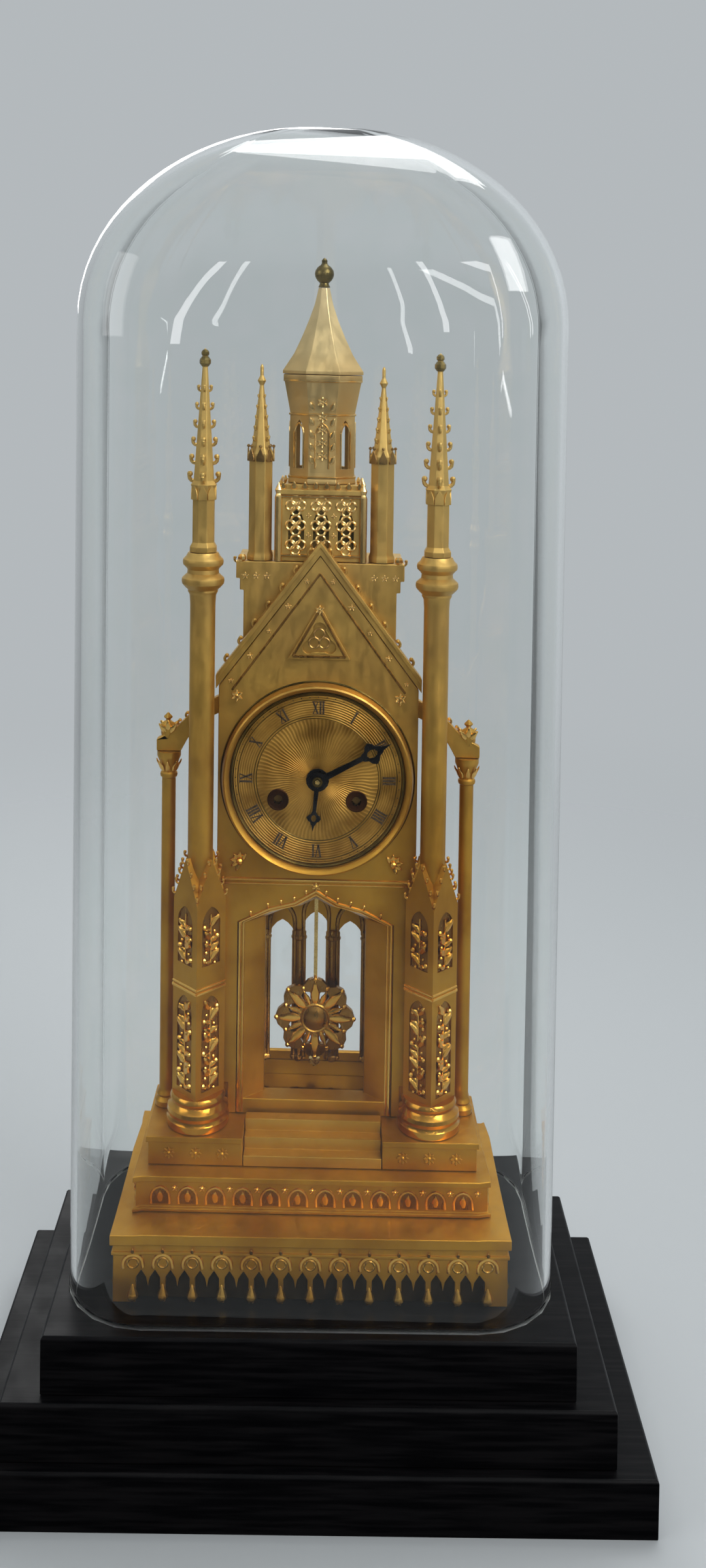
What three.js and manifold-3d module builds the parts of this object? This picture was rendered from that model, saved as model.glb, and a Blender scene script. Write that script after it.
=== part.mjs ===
// Gothic church-front mantel clock under a glass dome. Millimetres, +Z up, the front faces -Y.
import * as THREE from "three";
import { mergeVertices } from "three/addons/utils/BufferGeometryUtils.js";
import Module from "manifold-3d";

const wasm = await Module();
wasm.setup();

// Gap left between pieces that rest on or in one another
const SEAT = 0.3;

// Black stepped base
const STEP_H = 28;
const STEP_LEDGE_X = 18.5;
const STEP_LEDGE_Y = 6;
const STEP_COUNT = 3;
const BASE_MARGIN_X = 6.2;
const BASE_MARGIN_Y = 6.5;
const STEP_EASE = 1.2;

// Glass dome
const DOME_WALL = 3;
const DOME_GAP_X = 19.5;
const DOME_GAP_Y = 16;
const DOME_CORNER = 40;
const DOME_CORNER_STEPS = 5;
const DOME_HEADROOM = 64;
const DOME_CAP_H = 100;
const GROOVE_DEPTH = 2;

// Gilt plinth
const PLINTH_D = 112;
const PLINTH_H = 34;
const PLINTH_LEDGE_X = 9.2;
const PLINTH_WALL = 4;
const PLINTH_TOP_H = 5;
const PLINTH_CORNER = 8;
const PLINTH_BAY = 14.4;
const UPPER_H = 18;
const UPPER_LEDGE = 4.5;
const UPPER_FRONT = 36;
const PEDESTAL_H = 15;
const PEDESTAL_FRONT = 27;
const PEDESTAL_MARGIN = 1.5;
const STAIR_COUNT = 3;
const CASE_BACK_LEDGE = 4;
const UPPER_BACK_LEDGE = 4;

// Front wall, doorway and gable
const WALL = 4;
const FACADE_FRONT = 4;
const DOOR_HALF = 26.5;
const DOOR_H = 93;
const DOOR_RISE = 10;
const SILL_H = 8;
const JAMB_W = 14;
const PORTAL_D = 12;
const PORTAL_HEAD = 8;
const DIAL_GAP = 8;
const GABLE_RISE = 68;
const COPING_W = 4.5;
const COPING_D = 6;

// Corner piers, columns and pinnacles
const COLUMN_R = 6.5;
const COLUMN_Y = -11;
const COLUMN_H = 158;
const RING_R = 11;
const RING_H = 20;
const PIER_SIDE = 19;
const PIER_BASE_R = 16.5;
const PIER_BASE_H = 16;
const PIER_BASE_SIDES = 16;
const PIER_H = 100;
const GABLET_H = 22;
const PINNACLE_R = 6.6;
const PINNACLE_SHAFT_H = 35;
const PINNACLE_SPIRE_H = 59;
const PINNACLE_TIP_H = 10;
const COLONNETTE_R = 3.65;
const COLONNETTE_GAP = 18.5;
const COLONNETTE_BACK = 15.5;
const COLONNETTE_H = 173.5;
const COLONNETTE_CAP_H = 14;
const BUTTRESS_RISE = 31;
const BUTTRESS_T = 5;

// Tower
const TOWER_HALF = 40;
const TOWER_H = 49;
const CORNICE_H = 15;
const CORNICE_OUT = 4;
const TURRET_X = 32;
const TURRET_Y = 8;
const TURRET_R = 6.6;
const TURRET_SHAFT_H = 56;
const TURRET_CONE_H = 35;
const TURRET_TIP_H = 12;
const TOWER_Y = 22;
const GALLERY_HALF = 22;
const GALLERY_DEEP = 19;
const GALLERY_H = 40;
const GALLERY_WALL = 2.6;
const BELFRY_R = 18.6;
const BELFRY_EAVE_R = 22.6;
const BELFRY_H = 57;
const BELFRY_FLARE_H = 20;
const SPIRE_H = 46;
const SPIRE_NECK_R = 3.2;
const FINIAL_R = 5.4;
const FINIAL_H = 16;

// Dial, bezel and hands
const BEZEL_R = 50;
const BEZEL_W = 4.2;
const BEZEL_D = 6.2;
const DIAL_T = 1.5;
const DIAL_SEAT = 4;
const WIND_X = 20.4;
const WIND_DROP = 11;
const WIND_HOLE_R = 4.2;
const HAND_T = 0.8;
const MINUTE_L = 43;
const HOUR_L = 27;
const HAND_TURN_MIN = 62;
const HAND_TURN_HOUR = 185;

// Movement
const PLATE_R = 40;
const PLATE_T = 2;
const PLATE_FRONT_Y = 3;
const PLATE_GAP = 21;
const PILLAR_R = 1.7;
const PIVOT_R = 1;
const PIVOT_GAP = 0.3;
const BARREL_R = 14.2;
const BARREL_L = 9.8;
const BARREL_TEETH = 36;
const BARREL_PITCH_R = 15.6;
const SECOND_LEAVES = 9;
const SECOND_TEETH = 36;
const CENTRE_LEAVES = 6;
const CENTRE_TEETH = 36;
const THIRD_LEAVES = 6;
const THIRD_TEETH = 36;
const ESCAPE_LEAVES = 6;
const ESCAPE_TEETH = 20;
const ESCAPE_R = 9.5;
const ESCAPE_Z = 23;
const CANNON_TEETH = 9;
const MINUTE_TEETH = 27;
const MINUTE_LEAVES = 7;
const HOUR_TEETH = 28;
const MOTION_DISTANCE = 13;
const WHEEL_T = 1.2;
const ANCHOR_Z = 34.6;
const HANG_Z = 36.6;
const PENDULUM_GAP = 5;
const CASE_ROOM = 5;
const ROD_W = 2;
const ROD_T = 1.2;
const BOB_R = 22;
const BOB_T = 6;
const BOB_CLEAR = 13;
const BELL_R = 22;
const BELL_H = 11;
const BELL_T = 1.5;
const BELL_X = 10;
const HAMMER_T = 1;
const COUNT_R = 12;

// Levels, from the bottom of the black base upwards
const clockZ = STEP_H * STEP_COUNT;
const upperZ = clockZ + PLINTH_H;
const pedestalZ = upperZ + UPPER_H;
const floorZ = pedestalZ + PEDESTAL_H;
const sillZ = floorZ + SILL_H;
const springZ = sillZ + DOOR_H;
const portalTopZ = springZ + DOOR_RISE + PORTAL_HEAD;
const dialZ = portalTopZ + DIAL_GAP + BEZEL_R;
const eavesZ = dialZ + BEZEL_R - 3;
const towerTopZ = eavesZ + TOWER_H + CORNICE_H;
const belfryZ = towerTopZ + GALLERY_H;
const spireZ = belfryZ + BELFRY_H;
const finialZ = spireZ + SPIRE_H;
const clockTopZ = finialZ + FINIAL_H;
const pierTopZ = floorZ + PIER_BASE_H + PIER_H;
const ringZ = pierTopZ + COLUMN_H;
const pinnacleZ = ringZ + RING_H;

// Plan positions
const facadeHalf = BEZEL_R + 2;
const columnX = facadeHalf + COLUMN_R + 1.5;
const colonnetteX = columnX + COLONNETTE_GAP;
const colonnetteY = COLUMN_Y + COLONNETTE_BACK;
const caseX = facadeHalf - 2;
const pedestalHalf = colonnetteX + COLONNETTE_R + PEDESTAL_MARGIN;
const upperHalf = pedestalHalf + UPPER_LEDGE;
const plinthHalf = upperHalf + PLINTH_LEDGE_X;
const plateBackY = PLATE_FRONT_Y + PLATE_T + PLATE_GAP;
const plateEndY = plateBackY + PLATE_T;
const pendulumY = plateEndY + PENDULUM_GAP;
const caseDepth = pendulumY + CASE_ROOM;
const caseBackY = caseDepth + WALL;
const pedestalBack = caseBackY + CASE_BACK_LEDGE;
const upperBack = pedestalBack + UPPER_BACK_LEDGE;
const domeHalfX = plinthHalf + DOME_GAP_X + DOME_WALL;
const domeHalfY = PLINTH_D / 2 + DOME_GAP_Y + DOME_WALL;
const portalHalf = DOOR_HALF + JAMB_W;

function finish(name, color, metalness, roughness) {
  return new THREE.MeshStandardMaterial({ name, color, metalness, roughness });
}

const materials = {
  black: finish("ebonised_wood", 0x15151a, 0, 0.35),
  glass: finish("dome_glass", 0xdfeaea, 0, 0.02),
  gilt: finish("gilt_bronze", 0xd99a3c, 1, 0.3),
  matte: finish("matte_gilt", 0xc89445, 1, 0.5),
  brass: finish("movement_brass", 0xc9a24b, 1, 0.35),
  steel: finish("arbor_steel", 0x8c9096, 1, 0.3),
  blued: finish("blued_steel", 0x1a1a22, 1, 0.35),
};

const clock = new THREE.Group();
clock.name = "cathedral_clock";

// Solid helpers
function toSolid(geometry) {
  const plain = new THREE.BufferGeometry();
  plain.setAttribute("position", geometry.getAttribute("position").clone());
  if (geometry.index) plain.setIndex(geometry.index.clone());
  const merged = mergeVertices(plain, 1e-4);
  const points = merged.getAttribute("position").array;
  const index = merged.index.array;
  const kept = [];
  let volume = 0;
  const corner = [new THREE.Vector3(), new THREE.Vector3(), new THREE.Vector3()];
  for (let i = 0; i < index.length; i += 3) {
    const [a, b, c] = [index[i], index[i + 1], index[i + 2]];
    if (a === b || b === c || c === a) continue;
    kept.push(a, b, c);
    corner[0].fromArray(points, a * 3);
    corner[1].fromArray(points, b * 3);
    corner[2].fromArray(points, c * 3);
    volume += corner[0].dot(corner[1].cross(corner[2]));
  }
  if (volume < 0) kept.reverse();
  const mesh = new wasm.Mesh({
    numProp: 3,
    vertProperties: Float32Array.from(points),
    triVerts: Uint32Array.from(kept),
  });
  return new wasm.Manifold(mesh);
}

function toGeometry(solid) {
  const mesh = solid.getMesh();
  const geometry = new THREE.BufferGeometry();
  geometry.setAttribute("position", new THREE.BufferAttribute(new Float32Array(mesh.vertProperties), 3));
  geometry.setIndex(new THREE.BufferAttribute(new Uint32Array(mesh.triVerts), 1));
  geometry.computeVertexNormals();
  return geometry;
}

function join(...pieces) {
  let whole = toSolid(pieces[0]);
  for (const piece of pieces.slice(1)) whole = whole.add(toSolid(piece));
  return toGeometry(whole);
}

function cut(piece, ...tools) {
  let rest = toSolid(piece);
  for (const tool of tools) rest = rest.subtract(toSolid(tool));
  return toGeometry(rest);
}

function add(name, geometry, material, x = 0, y = 0, z = 0) {
  const mesh = new THREE.Mesh(toGeometry(toSolid(geometry)), material);
  mesh.name = name;
  mesh.position.set(x, y, z);
  clock.add(mesh);
  return mesh;
}

// Shape helpers
function shapeOf(points) {
  return new THREE.Shape(points.map(([x, y]) => new THREE.Vector2(x, y)));
}

// Upright panel: the drawing lies in X and Z, its front is at y = 0 and it runs back to y = depth
function panel(shape, depth) {
  const geometry = new THREE.ExtrudeGeometry(shape, { depth, bevelEnabled: false, curveSegments: 10 });
  return geometry.rotateX(Math.PI / 2).translate(0, depth, 0);
}

// Level slab: the drawing lies in X and Y and rises from z = 0 to z = height
function slab(shape, height) {
  return new THREE.ExtrudeGeometry(shape, { depth: height, bevelEnabled: false, curveSegments: 10 });
}

function block(x0, x1, y0, y1, z0, z1) {
  const geometry = new THREE.BoxGeometry(x1 - x0, y1 - y0, z1 - z0);
  return geometry.translate((x0 + x1) / 2, (y0 + y1) / 2, (z0 + z1) / 2);
}

// Turned about the vertical; profile is [radius, z] from the bottom up
function turned(profile, sides) {
  const points = profile.map(([r, z]) => new THREE.Vector2(r, z));
  return new THREE.LatheGeometry(points, sides).rotateX(Math.PI / 2).rotateZ(Math.PI / sides);
}

// Turned about the front-to-back axis; profile is [radius, y] from front to back
function turnedDeep(profile, sides) {
  const points = profile.map(([r, y]) => new THREE.Vector2(r, y));
  return new THREE.LatheGeometry(points, sides);
}

function rodDeep(radius, y0, y1, sides = 6) {
  return turnedDeep([[0, y0], [radius, y0], [radius, y1], [0, y1]], sides);
}

function circle(x, y, radius, sides) {
  const points = [];
  for (let i = 0; i < sides; i += 1) {
    const a = (i / sides) * Math.PI * 2;
    points.push([x + radius * Math.cos(a), y + radius * Math.sin(a)]);
  }
  return points;
}

// Points of a two-centred pointed head from the right springing over the apex to the left one
function pointedHead(half, spring, rise, steps) {
  const radius = (half * half + rise * rise) / (2 * half);
  const sweep = Math.asin(rise / radius);
  const points = [];
  for (let i = 0; i <= steps; i += 1) {
    const a = (sweep * i) / steps;
    points.push([half - radius + radius * Math.cos(a), spring + radius * Math.sin(a)]);
  }
  for (let i = steps - 1; i >= 0; i -= 1) points.push([-points[i][0], points[i][1]]);
  return points;
}

function lancet(x, half, foot, spring, rise, steps = 3) {
  const head = pointedHead(half, spring, rise, steps);
  const outline = [[-half, foot], [half, foot], ...head];
  return outline.map(([px, py]) => [x + px, py]);
}

// Low four-centred head drawn with straight rises, for the doorway
function doorOutline(half, foot, spring, rise) {
  return [
    [-half, foot],
    [half, foot],
    [half, spring],
    [half * 0.62, spring + rise * 0.42],
    [half * 0.28, spring + rise * 0.62],
    [0, spring + rise],
    [-half * 0.28, spring + rise * 0.62],
    [-half * 0.62, spring + rise * 0.42],
    [-half, spring],
  ];
}

// Skin over a run of equal rings; the first and last ring may be single points
function loft(rings, closed = false) {
  const positions = [];
  const index = [];
  const starts = rings.map((ring) => {
    const start = positions.length / 3;
    for (const point of ring) positions.push(...point);
    return start;
  });
  const runs = closed ? rings.length : rings.length - 1;
  for (let k = 0; k < runs; k += 1) {
    const n = (k + 1) % rings.length;
    const count = Math.max(rings[k].length, rings[n].length);
    for (let i = 0; i < count; i += 1) {
      const j = (i + 1) % count;
      const at = (ring, step) => starts[ring] + (rings[ring].length === 1 ? 0 : step);
      index.push(at(k, i), at(k, j), at(n, j));
      index.push(at(k, i), at(n, j), at(n, i));
    }
  }
  const geometry = new THREE.BufferGeometry();
  geometry.setAttribute("position", new THREE.Float32BufferAttribute(positions, 3));
  geometry.setIndex(index);
  return geometry;
}

function roundedRect(halfX, halfY, radius, steps) {
  const corners = [[1, 1, 0], [-1, 1, 1], [-1, -1, 2], [1, -1, 3]];
  const points = [];
  for (const [sx, sy, quarter] of corners) {
    for (let i = 0; i <= steps; i += 1) {
      const a = (quarter + i / steps) * (Math.PI / 2);
      points.push([
        sx * (halfX - radius) + radius * Math.cos(a),
        sy * (halfY - radius) + radius * Math.sin(a),
      ]);
    }
  }
  return points;
}

function bud(radius, x, y, z) {
  return new THREE.OctahedronGeometry(radius * 1.15, 0).translate(x, y, z);
}

// Gear helpers: pointed teeth on a disc, drawn in X and Z
function gear(teeth, pitchR, phase, y0, y1) {
  const pitch = (Math.PI * 2) / teeth;
  const unit = (pitchR * 2) / teeth;
  const root = pitchR - 1.25 * unit;
  const tip = pitchR + 0.9 * unit;
  const points = [];
  for (let i = 0; i < teeth; i += 1) {
    const a = phase + i * pitch;
    for (const [radius, turn] of [[root, -0.33], [tip, 0], [root, 0.33]]) {
      const b = a + turn * pitch;
      points.push([radius * Math.cos(b), radius * Math.sin(b)]);
    }
  }
  return panel(shapeOf(points), y1 - y0).translate(0, y0, 0);
}

// Phase of gear B so that its gap faces gear A's tooth along the line from A to B
function meshPhase(teethA, phaseA, direction, teethB) {
  const turnsA = ((direction - phaseA) * teethA) / (Math.PI * 2);
  return direction + Math.PI - (0.5 - turnsA) * ((Math.PI * 2) / teethB);
}

function angleTo(from, to) {
  return Math.atan2(to[1] - from[1], to[0] - from[0]);
}

function distance(from, to) {
  return Math.hypot(to[0] - from[0], to[1] - from[1]);
}

// Black stepped base, with a groove for the dome in its top step
function baseStep(level) {
  const stepsAbove = STEP_COUNT - 1 - level;
  const halfX = domeHalfX + BASE_MARGIN_X + STEP_LEDGE_X * stepsAbove;
  const halfY = domeHalfY + BASE_MARGIN_Y + STEP_LEDGE_Y * stepsAbove;
  const rect = (inset) => [
    [halfX - inset, halfY - inset],
    [inset - halfX, halfY - inset],
    [inset - halfX, inset - halfY],
    [halfX - inset, inset - halfY],
  ];
  const ring = (inset, z) => rect(inset).map(([x, y]) => [x, y, z]);
  const foot = level === 0 ? 0 : SEAT;
  const body = loft([
    [[0, 0, foot]],
    ring(0, foot),
    ring(0, STEP_H - STEP_EASE),
    ring(STEP_EASE, STEP_H),
    [[0, 0, STEP_H]],
  ]);
  if (level < STEP_COUNT - 1) return body;
  const outer = roundedRect(domeHalfX + SEAT, domeHalfY + SEAT, DOME_CORNER + SEAT, DOME_CORNER_STEPS);
  const shape = shapeOf(outer);
  const reach = DOME_WALL + SEAT;
  const inner = roundedRect(domeHalfX - reach, domeHalfY - reach, DOME_CORNER - reach, DOME_CORNER_STEPS);
  shape.holes.push(shapeOf(inner));
  return cut(body, slab(shape, GROOVE_DEPTH + 1).translate(0, 0, STEP_H - GROOVE_DEPTH));
}

["base_bottom_step", "base_middle_step", "base_top_step"].forEach((name, level) => {
  add(name, baseStep(level), materials.black, 0, 0, STEP_H * level);
});

// Glass dome: straight walls on a rounded plan, closed by a rounded cap
function glassDome() {
  const foot = clockZ - GROOVE_DEPTH + SEAT;
  const top = clockTopZ + DOME_HEADROOM;
  const spring = top - DOME_CAP_H;
  const capSteps = 6;
  const skin = (inset) => {
    const plan = roundedRect(domeHalfX - inset, domeHalfY - inset, DOME_CORNER - inset, DOME_CORNER_STEPS);
    const rings = [plan.map(([x, y]) => [x, y, foot])];
    for (let i = 0; i < capSteps; i += 1) {
      const a = ((i / capSteps) * Math.PI) / 2;
      const z = spring + (DOME_CAP_H - inset) * Math.sin(a);
      const k = Math.cos(a);
      rings.push(plan.map(([x, y]) => [x * k, y * k, z]));
    }
    rings.push([[0, 0, top - inset]]);
    return rings;
  };
  const outside = skin(0);
  const inside = skin(DOME_WALL).reverse();
  return loft([...inside, ...outside]);
}

add("glass_dome", glassDome(), materials.glass);

// Lower plinth: hollow, standing on an open arcade of paired arches
function arcadeBay(centre, depth) {
  const half = PLINTH_BAY / 2 - 1.3;
  const drop = 0.9;
  const archHalf = (half - drop) / 2;
  const spring = PLINTH_H * 0.36;
  const points = [[-half, -1]];
  points.push([half, -1]);
  for (const side of [1, -1]) {
    const middle = side * (half + drop) * 0.5;
    for (const [x, z] of pointedHead(archHalf, spring, archHalf * 1.5, 1)) points.push([middle + x, z]);
    if (side > 0) points.push([0, spring * 0.62]);
  }
  return panel(shapeOf(points), depth).translate(centre, 0, 0);
}

function lowerPlinth() {
  const d = PLINTH_D / 2;
  const skirtX = plinthHalf - 1.5;
  const skirtY = d - 1.5;
  const skirt = block(-skirtX, skirtX, -skirtY, skirtY, SEAT, PLINTH_H - 1);
  const top = block(-plinthHalf, plinthHalf, -d, d, PLINTH_H - PLINTH_TOP_H, PLINTH_H);
  const beadX = skirtX + 0.8;
  const beadY = skirtY + 0.8;
  const bead = block(-beadX, beadX, -beadY, beadY, PLINTH_H * 0.7, PLINTH_H * 0.75);
  const hollow = block(
    PLINTH_WALL - skirtX,
    skirtX - PLINTH_WALL,
    PLINTH_WALL - skirtY,
    skirtY - PLINTH_WALL,
    -1,
    PLINTH_H - PLINTH_TOP_H,
  );
  const tools = [hollow];
  const frontBays = Math.floor((skirtX * 2 - PLINTH_CORNER * 2) / PLINTH_BAY);
  for (let i = 0; i < frontBays; i += 1) {
    const x = (i - (frontBays - 1) / 2) * PLINTH_BAY;
    tools.push(arcadeBay(x, PLINTH_WALL + 2).translate(0, -d - 1, 0));
  }
  const sideBays = Math.floor((skirtY * 2 - PLINTH_CORNER * 2) / PLINTH_BAY);
  for (let i = 0; i < sideBays; i += 1) {
    const y = (i - (sideBays - 1) / 2) * PLINTH_BAY;
    for (const side of [-1, 1]) {
      const bay = arcadeBay(0, PLINTH_WALL + 2).translate(0, -PLINTH_WALL / 2 - 1, 0).rotateZ(Math.PI / 2);
      tools.push(bay.translate(side * (skirtX - PLINTH_WALL / 2), y, 0));
    }
  }
  return cut(join(skirt, top, bead), ...tools);
}

add("plinth_lower_tier", lowerPlinth(), materials.gilt, 0, 0, clockZ);

// Upper plinth: a hollow slab with a base fillet and a small cornice
function upperPlinth() {
  const tier = (out, z0, z1) => {
    const half = upperHalf + out;
    return block(-half, half, -UPPER_FRONT - out, upperBack + out, z0, z1);
  };
  const body = join(
    tier(0, SEAT, UPPER_H - 1),
    tier(1.4, SEAT, UPPER_H * 0.12),
    tier(1.2, UPPER_H * 0.84, UPPER_H),
  );
  const hollow = block(8 - upperHalf, upperHalf - 8, 8 - UPPER_FRONT, upperBack - 8, -1, UPPER_H - 5);
  return cut(body, hollow);
}

add("plinth_upper_tier", upperPlinth(), materials.gilt, 0, 0, upperZ);

// Pedestal course: carries piers and walls, notched in front for the steps
const stairHalf = portalHalf - 5;
const stairBack = -FACADE_FRONT - 2;

function pedestalCourse() {
  const capHalf = pedestalHalf + 1;
  const body = join(
    block(-pedestalHalf, pedestalHalf, -PEDESTAL_FRONT, pedestalBack, SEAT, PEDESTAL_H - 1),
    block(-capHalf, capHalf, -PEDESTAL_FRONT - 1, pedestalBack + 1, PEDESTAL_H * 0.8, PEDESTAL_H),
  );
  const notch = block(-stairHalf, stairHalf, -PEDESTAL_FRONT - 5, stairBack, -1, PEDESTAL_H + 1);
  return cut(body, notch);
}

add("pedestal_course", pedestalCourse(), materials.gilt, 0, 0, pedestalZ);

// Flight of steps up to the doorway
function entranceSteps() {
  const rise = (PEDESTAL_H + SILL_H) / (STAIR_COUNT + 1);
  const tread = (PEDESTAL_FRONT + stairBack) / STAIR_COUNT;
  const points = [[stairBack - SEAT, SEAT]];
  for (let i = STAIR_COUNT; i >= 1; i -= 1) {
    const y = -PEDESTAL_FRONT + tread * i - (i === STAIR_COUNT ? SEAT : 0);
    points.push([y, rise * i]);
    points.push([-PEDESTAL_FRONT + tread * (i - 1), rise * i]);
  }
  points.push([-PEDESTAL_FRONT, SEAT]);
  const half = stairHalf - SEAT;
  const flight = new THREE.ExtrudeGeometry(shapeOf(points), { depth: half * 2, bevelEnabled: false });
  return flight.translate(0, 0, -half).applyMatrix4(new THREE.Matrix4().set(
    0, 0, 1, 0,
    1, 0, 0, 0,
    0, 1, 0, 0,
    0, 0, 0, 1,
  ));
}

add("entrance_steps", entranceSteps(), materials.gilt, 0, 0, pedestalZ);

// Corner pier: round base, square shaft set cornerwise, a gablet on each face and a socket for the column
function cornerPier() {
  const half = PIER_SIDE / 2;
  const top = PIER_BASE_H + PIER_H;
  const base = turned(
    [
      [0, SEAT],
      [PIER_BASE_R, SEAT],
      [PIER_BASE_R, PIER_BASE_H * 0.25],
      [PIER_BASE_R * 0.94, PIER_BASE_H * 0.4],
      [PIER_BASE_R * 0.94, PIER_BASE_H * 0.62],
      [PIER_BASE_R * 0.83, PIER_BASE_H * 0.72],
      [PIER_BASE_R * 0.88, PIER_BASE_H * 0.86],
      [PIER_BASE_R * 0.83, PIER_BASE_H],
      [0, PIER_BASE_H],
    ],
    PIER_BASE_SIDES,
  );
  const house = shapeOf([
    [-half, PIER_BASE_H - 1],
    [half, PIER_BASE_H - 1],
    [half, top],
    [0, top + GABLET_H],
    [-half, top],
  ]);
  const one = panel(house, PIER_SIDE).translate(0, -half, 0);
  const two = one.clone().rotateZ(Math.PI / 2);
  const tools = [rodUp(COLUMN_R + SEAT, top, top + GABLET_H + 5, 16)];
  for (let face = 0; face < 4; face += 1) {
    const sunk = shapeOf(lancet(0, half * 0.6, PIER_BASE_H + 6, top - half * 0.9, half * 0.9, 2));
    const turn = ((face + 0.5) * Math.PI) / 2;
    tools.push(panel(sunk, 2).translate(0, -half - 1, 0).rotateZ(turn));
  }
  return cut(join(base, join(one, two).rotateZ(Math.PI / 4)), ...tools);
}

function rodUp(radius, z0, z1, sides) {
  return turned([[0, z0], [radius, z0], [radius, z1], [0, z1]], sides);
}

// Column: plain round shaft with a double-ring capital
function column() {
  const h = COLUMN_H;
  return turned(
    [
      [0, SEAT],
      [COLUMN_R, SEAT],
      [COLUMN_R, h * 0.99],
      [RING_R * 0.82, h + RING_H * 0.1],
      [RING_R, h + RING_H * 0.22],
      [RING_R, h + RING_H * 0.36],
      [RING_R * 0.74, h + RING_H * 0.48],
      [RING_R * 0.74, h + RING_H * 0.6],
      [RING_R * 0.95, h + RING_H * 0.72],
      [RING_R * 0.95, h + RING_H * 0.86],
      [RING_R * 0.7, h + RING_H],
      [0, h + RING_H],
    ],
    14,
  );
}

// Pinnacle: eight-sided shaft, four gablets, crocketed spire and knob
function pinnacle() {
  const spireZ0 = PINNACLE_SHAFT_H;
  const tipZ0 = spireZ0 + PINNACLE_SPIRE_H;
  const body = turned(
    [
      [0, SEAT],
      [PINNACLE_R * 1.12, SEAT],
      [PINNACLE_R * 1.12, 3],
      [PINNACLE_R * 0.92, 5],
      [PINNACLE_R * 0.92, spireZ0 - 3],
      [PINNACLE_R * 1.12, spireZ0],
      [PINNACLE_R * 0.86, spireZ0 + 1.5],
      [PINNACLE_R * 0.22, tipZ0],
      [PINNACLE_R * 0.42, tipZ0 + PINNACLE_TIP_H * 0.28],
      [PINNACLE_R * 0.2, tipZ0 + PINNACLE_TIP_H * 0.5],
      [PINNACLE_R * 0.28, tipZ0 + PINNACLE_TIP_H * 0.7],
      [0, tipZ0 + PINNACLE_TIP_H],
    ],
    8,
  );
  const rows = 4;
  const buds = [];
  for (let row = 0; row < rows; row += 1) {
    const t = (row + 0.3) / (rows + 0.1);
    const radius = PINNACLE_R * (0.86 - 0.64 * t) + 0.6;
    for (let side = 0; side < 4; side += 1) {
      const a = (side * Math.PI) / 2;
      const z = spireZ0 + PINNACLE_SPIRE_H * t;
      buds.push(bud(2.8 - 1.3 * t, radius * Math.cos(a), radius * Math.sin(a), z));
    }
  }
  return join(body, ...buds);
}

// Slim outer colonnette with a base and a leaf capital
function colonnette() {
  const r = COLONNETTE_R;
  const h = COLONNETTE_H;
  return turned(
    [
      [0, SEAT],
      [r * 1.6, SEAT],
      [r * 1.6, 3],
      [r * 1.3, 5],
      [r * 1.3, 7],
      [r, 9],
      [r, h],
      [r * 1.25, h + 1],
      [r * 1.25, h + 2.5],
      [r, h + 3.5],
      [r * 1.75, h + COLONNETTE_CAP_H * 0.8],
      [r * 1.75, h + COLONNETTE_CAP_H],
      [0, h + COLONNETTE_CAP_H],
    ],
    8,
  );
}

// Flying buttress: sloping arm from the colonnette to the case wall, with a leaf boss at its foot
function flyingButtress() {
  const inner = colonnetteX - caseX - SEAT;
  const r = COLONNETTE_R * 1.75;
  const rise = BUTTRESS_RISE;
  const arm = shapeOf([
    [-r, SEAT],
    [r, SEAT],
    [r * 1.5, rise * 0.2],
    [inner * 0.55, rise * 0.5],
    [inner, rise * 0.7],
    [inner, rise],
    [inner * 0.5, rise * 0.74],
    [r * 0.4, rise * 0.36],
    [-r, rise * 0.2],
  ]);
  const boss = new THREE.IcosahedronGeometry(4.8, 0).scale(0.95, 0.8, 1.25);
  const knob = bud(2.4, -0.6, 0, rise * 0.36 + 6.4);
  return join(
    panel(arm, BUTTRESS_T).translate(0, -BUTTRESS_T / 2, 0),
    boss.translate(-0.6, 0, rise * 0.36),
    knob,
  );
}

for (const [side, mirror] of [["left", -1], ["right", 1]]) {
  const x = mirror * columnX;
  add(`pier_${side}`, cornerPier(), materials.gilt, x, COLUMN_Y, floorZ);
  add(`column_${side}`, column(), materials.gilt, x, COLUMN_Y, pierTopZ);
  add(`pinnacle_${side}`, pinnacle(), materials.gilt, x, COLUMN_Y, pinnacleZ);
  add(`colonnette_${side}`, colonnette(), materials.gilt, mirror * colonnetteX, colonnetteY, floorZ);
  const buttress = flyingButtress();
  if (mirror > 0) buttress.rotateZ(Math.PI);
  const buttressZ = floorZ + COLONNETTE_H + COLONNETTE_CAP_H;
  add(`flying_buttress_${side}`, buttress, materials.gilt, mirror * colonnetteX, colonnetteY, buttressZ);
}

// Front wall with its gable, pierced for the portal and the dial
const facadeY = -FACADE_FRONT;
const gableEaveZ = eavesZ - floorZ;

// Room left around the round pier bases in the walls behind them
function pierNotches() {
  return [-1, 1].map((side) => {
    const room = rodUp(PIER_BASE_R + SEAT, -1, PIER_BASE_H + SEAT, PIER_BASE_SIDES);
    return room.translate(side * columnX, COLUMN_Y, 0);
  });
}

function facade() {
  const outline = shapeOf([
    [-facadeHalf, SEAT],
    [facadeHalf, SEAT],
    [facadeHalf, gableEaveZ],
    [0, gableEaveZ + GABLE_RISE],
    [-facadeHalf, gableEaveZ],
  ]);
  const dialHole = circle(0, dialZ - floorZ, BEZEL_R - BEZEL_W - DIAL_SEAT, 40);
  outline.holes.push(shapeOf(dialHole));
  const hole = shapeOf(doorOutline(portalHalf + SEAT, -5, springZ - floorZ, portalTopZ - springZ));
  const opening = panel(hole, WALL + 2).translate(0, -1, 0);
  const notches = pierNotches().map((notch) => notch.translate(0, FACADE_FRONT, 0));
  return cut(panel(outline, WALL), opening, ...notches);
}

add("facade", facade(), materials.gilt, 0, facadeY, floorZ);

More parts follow.
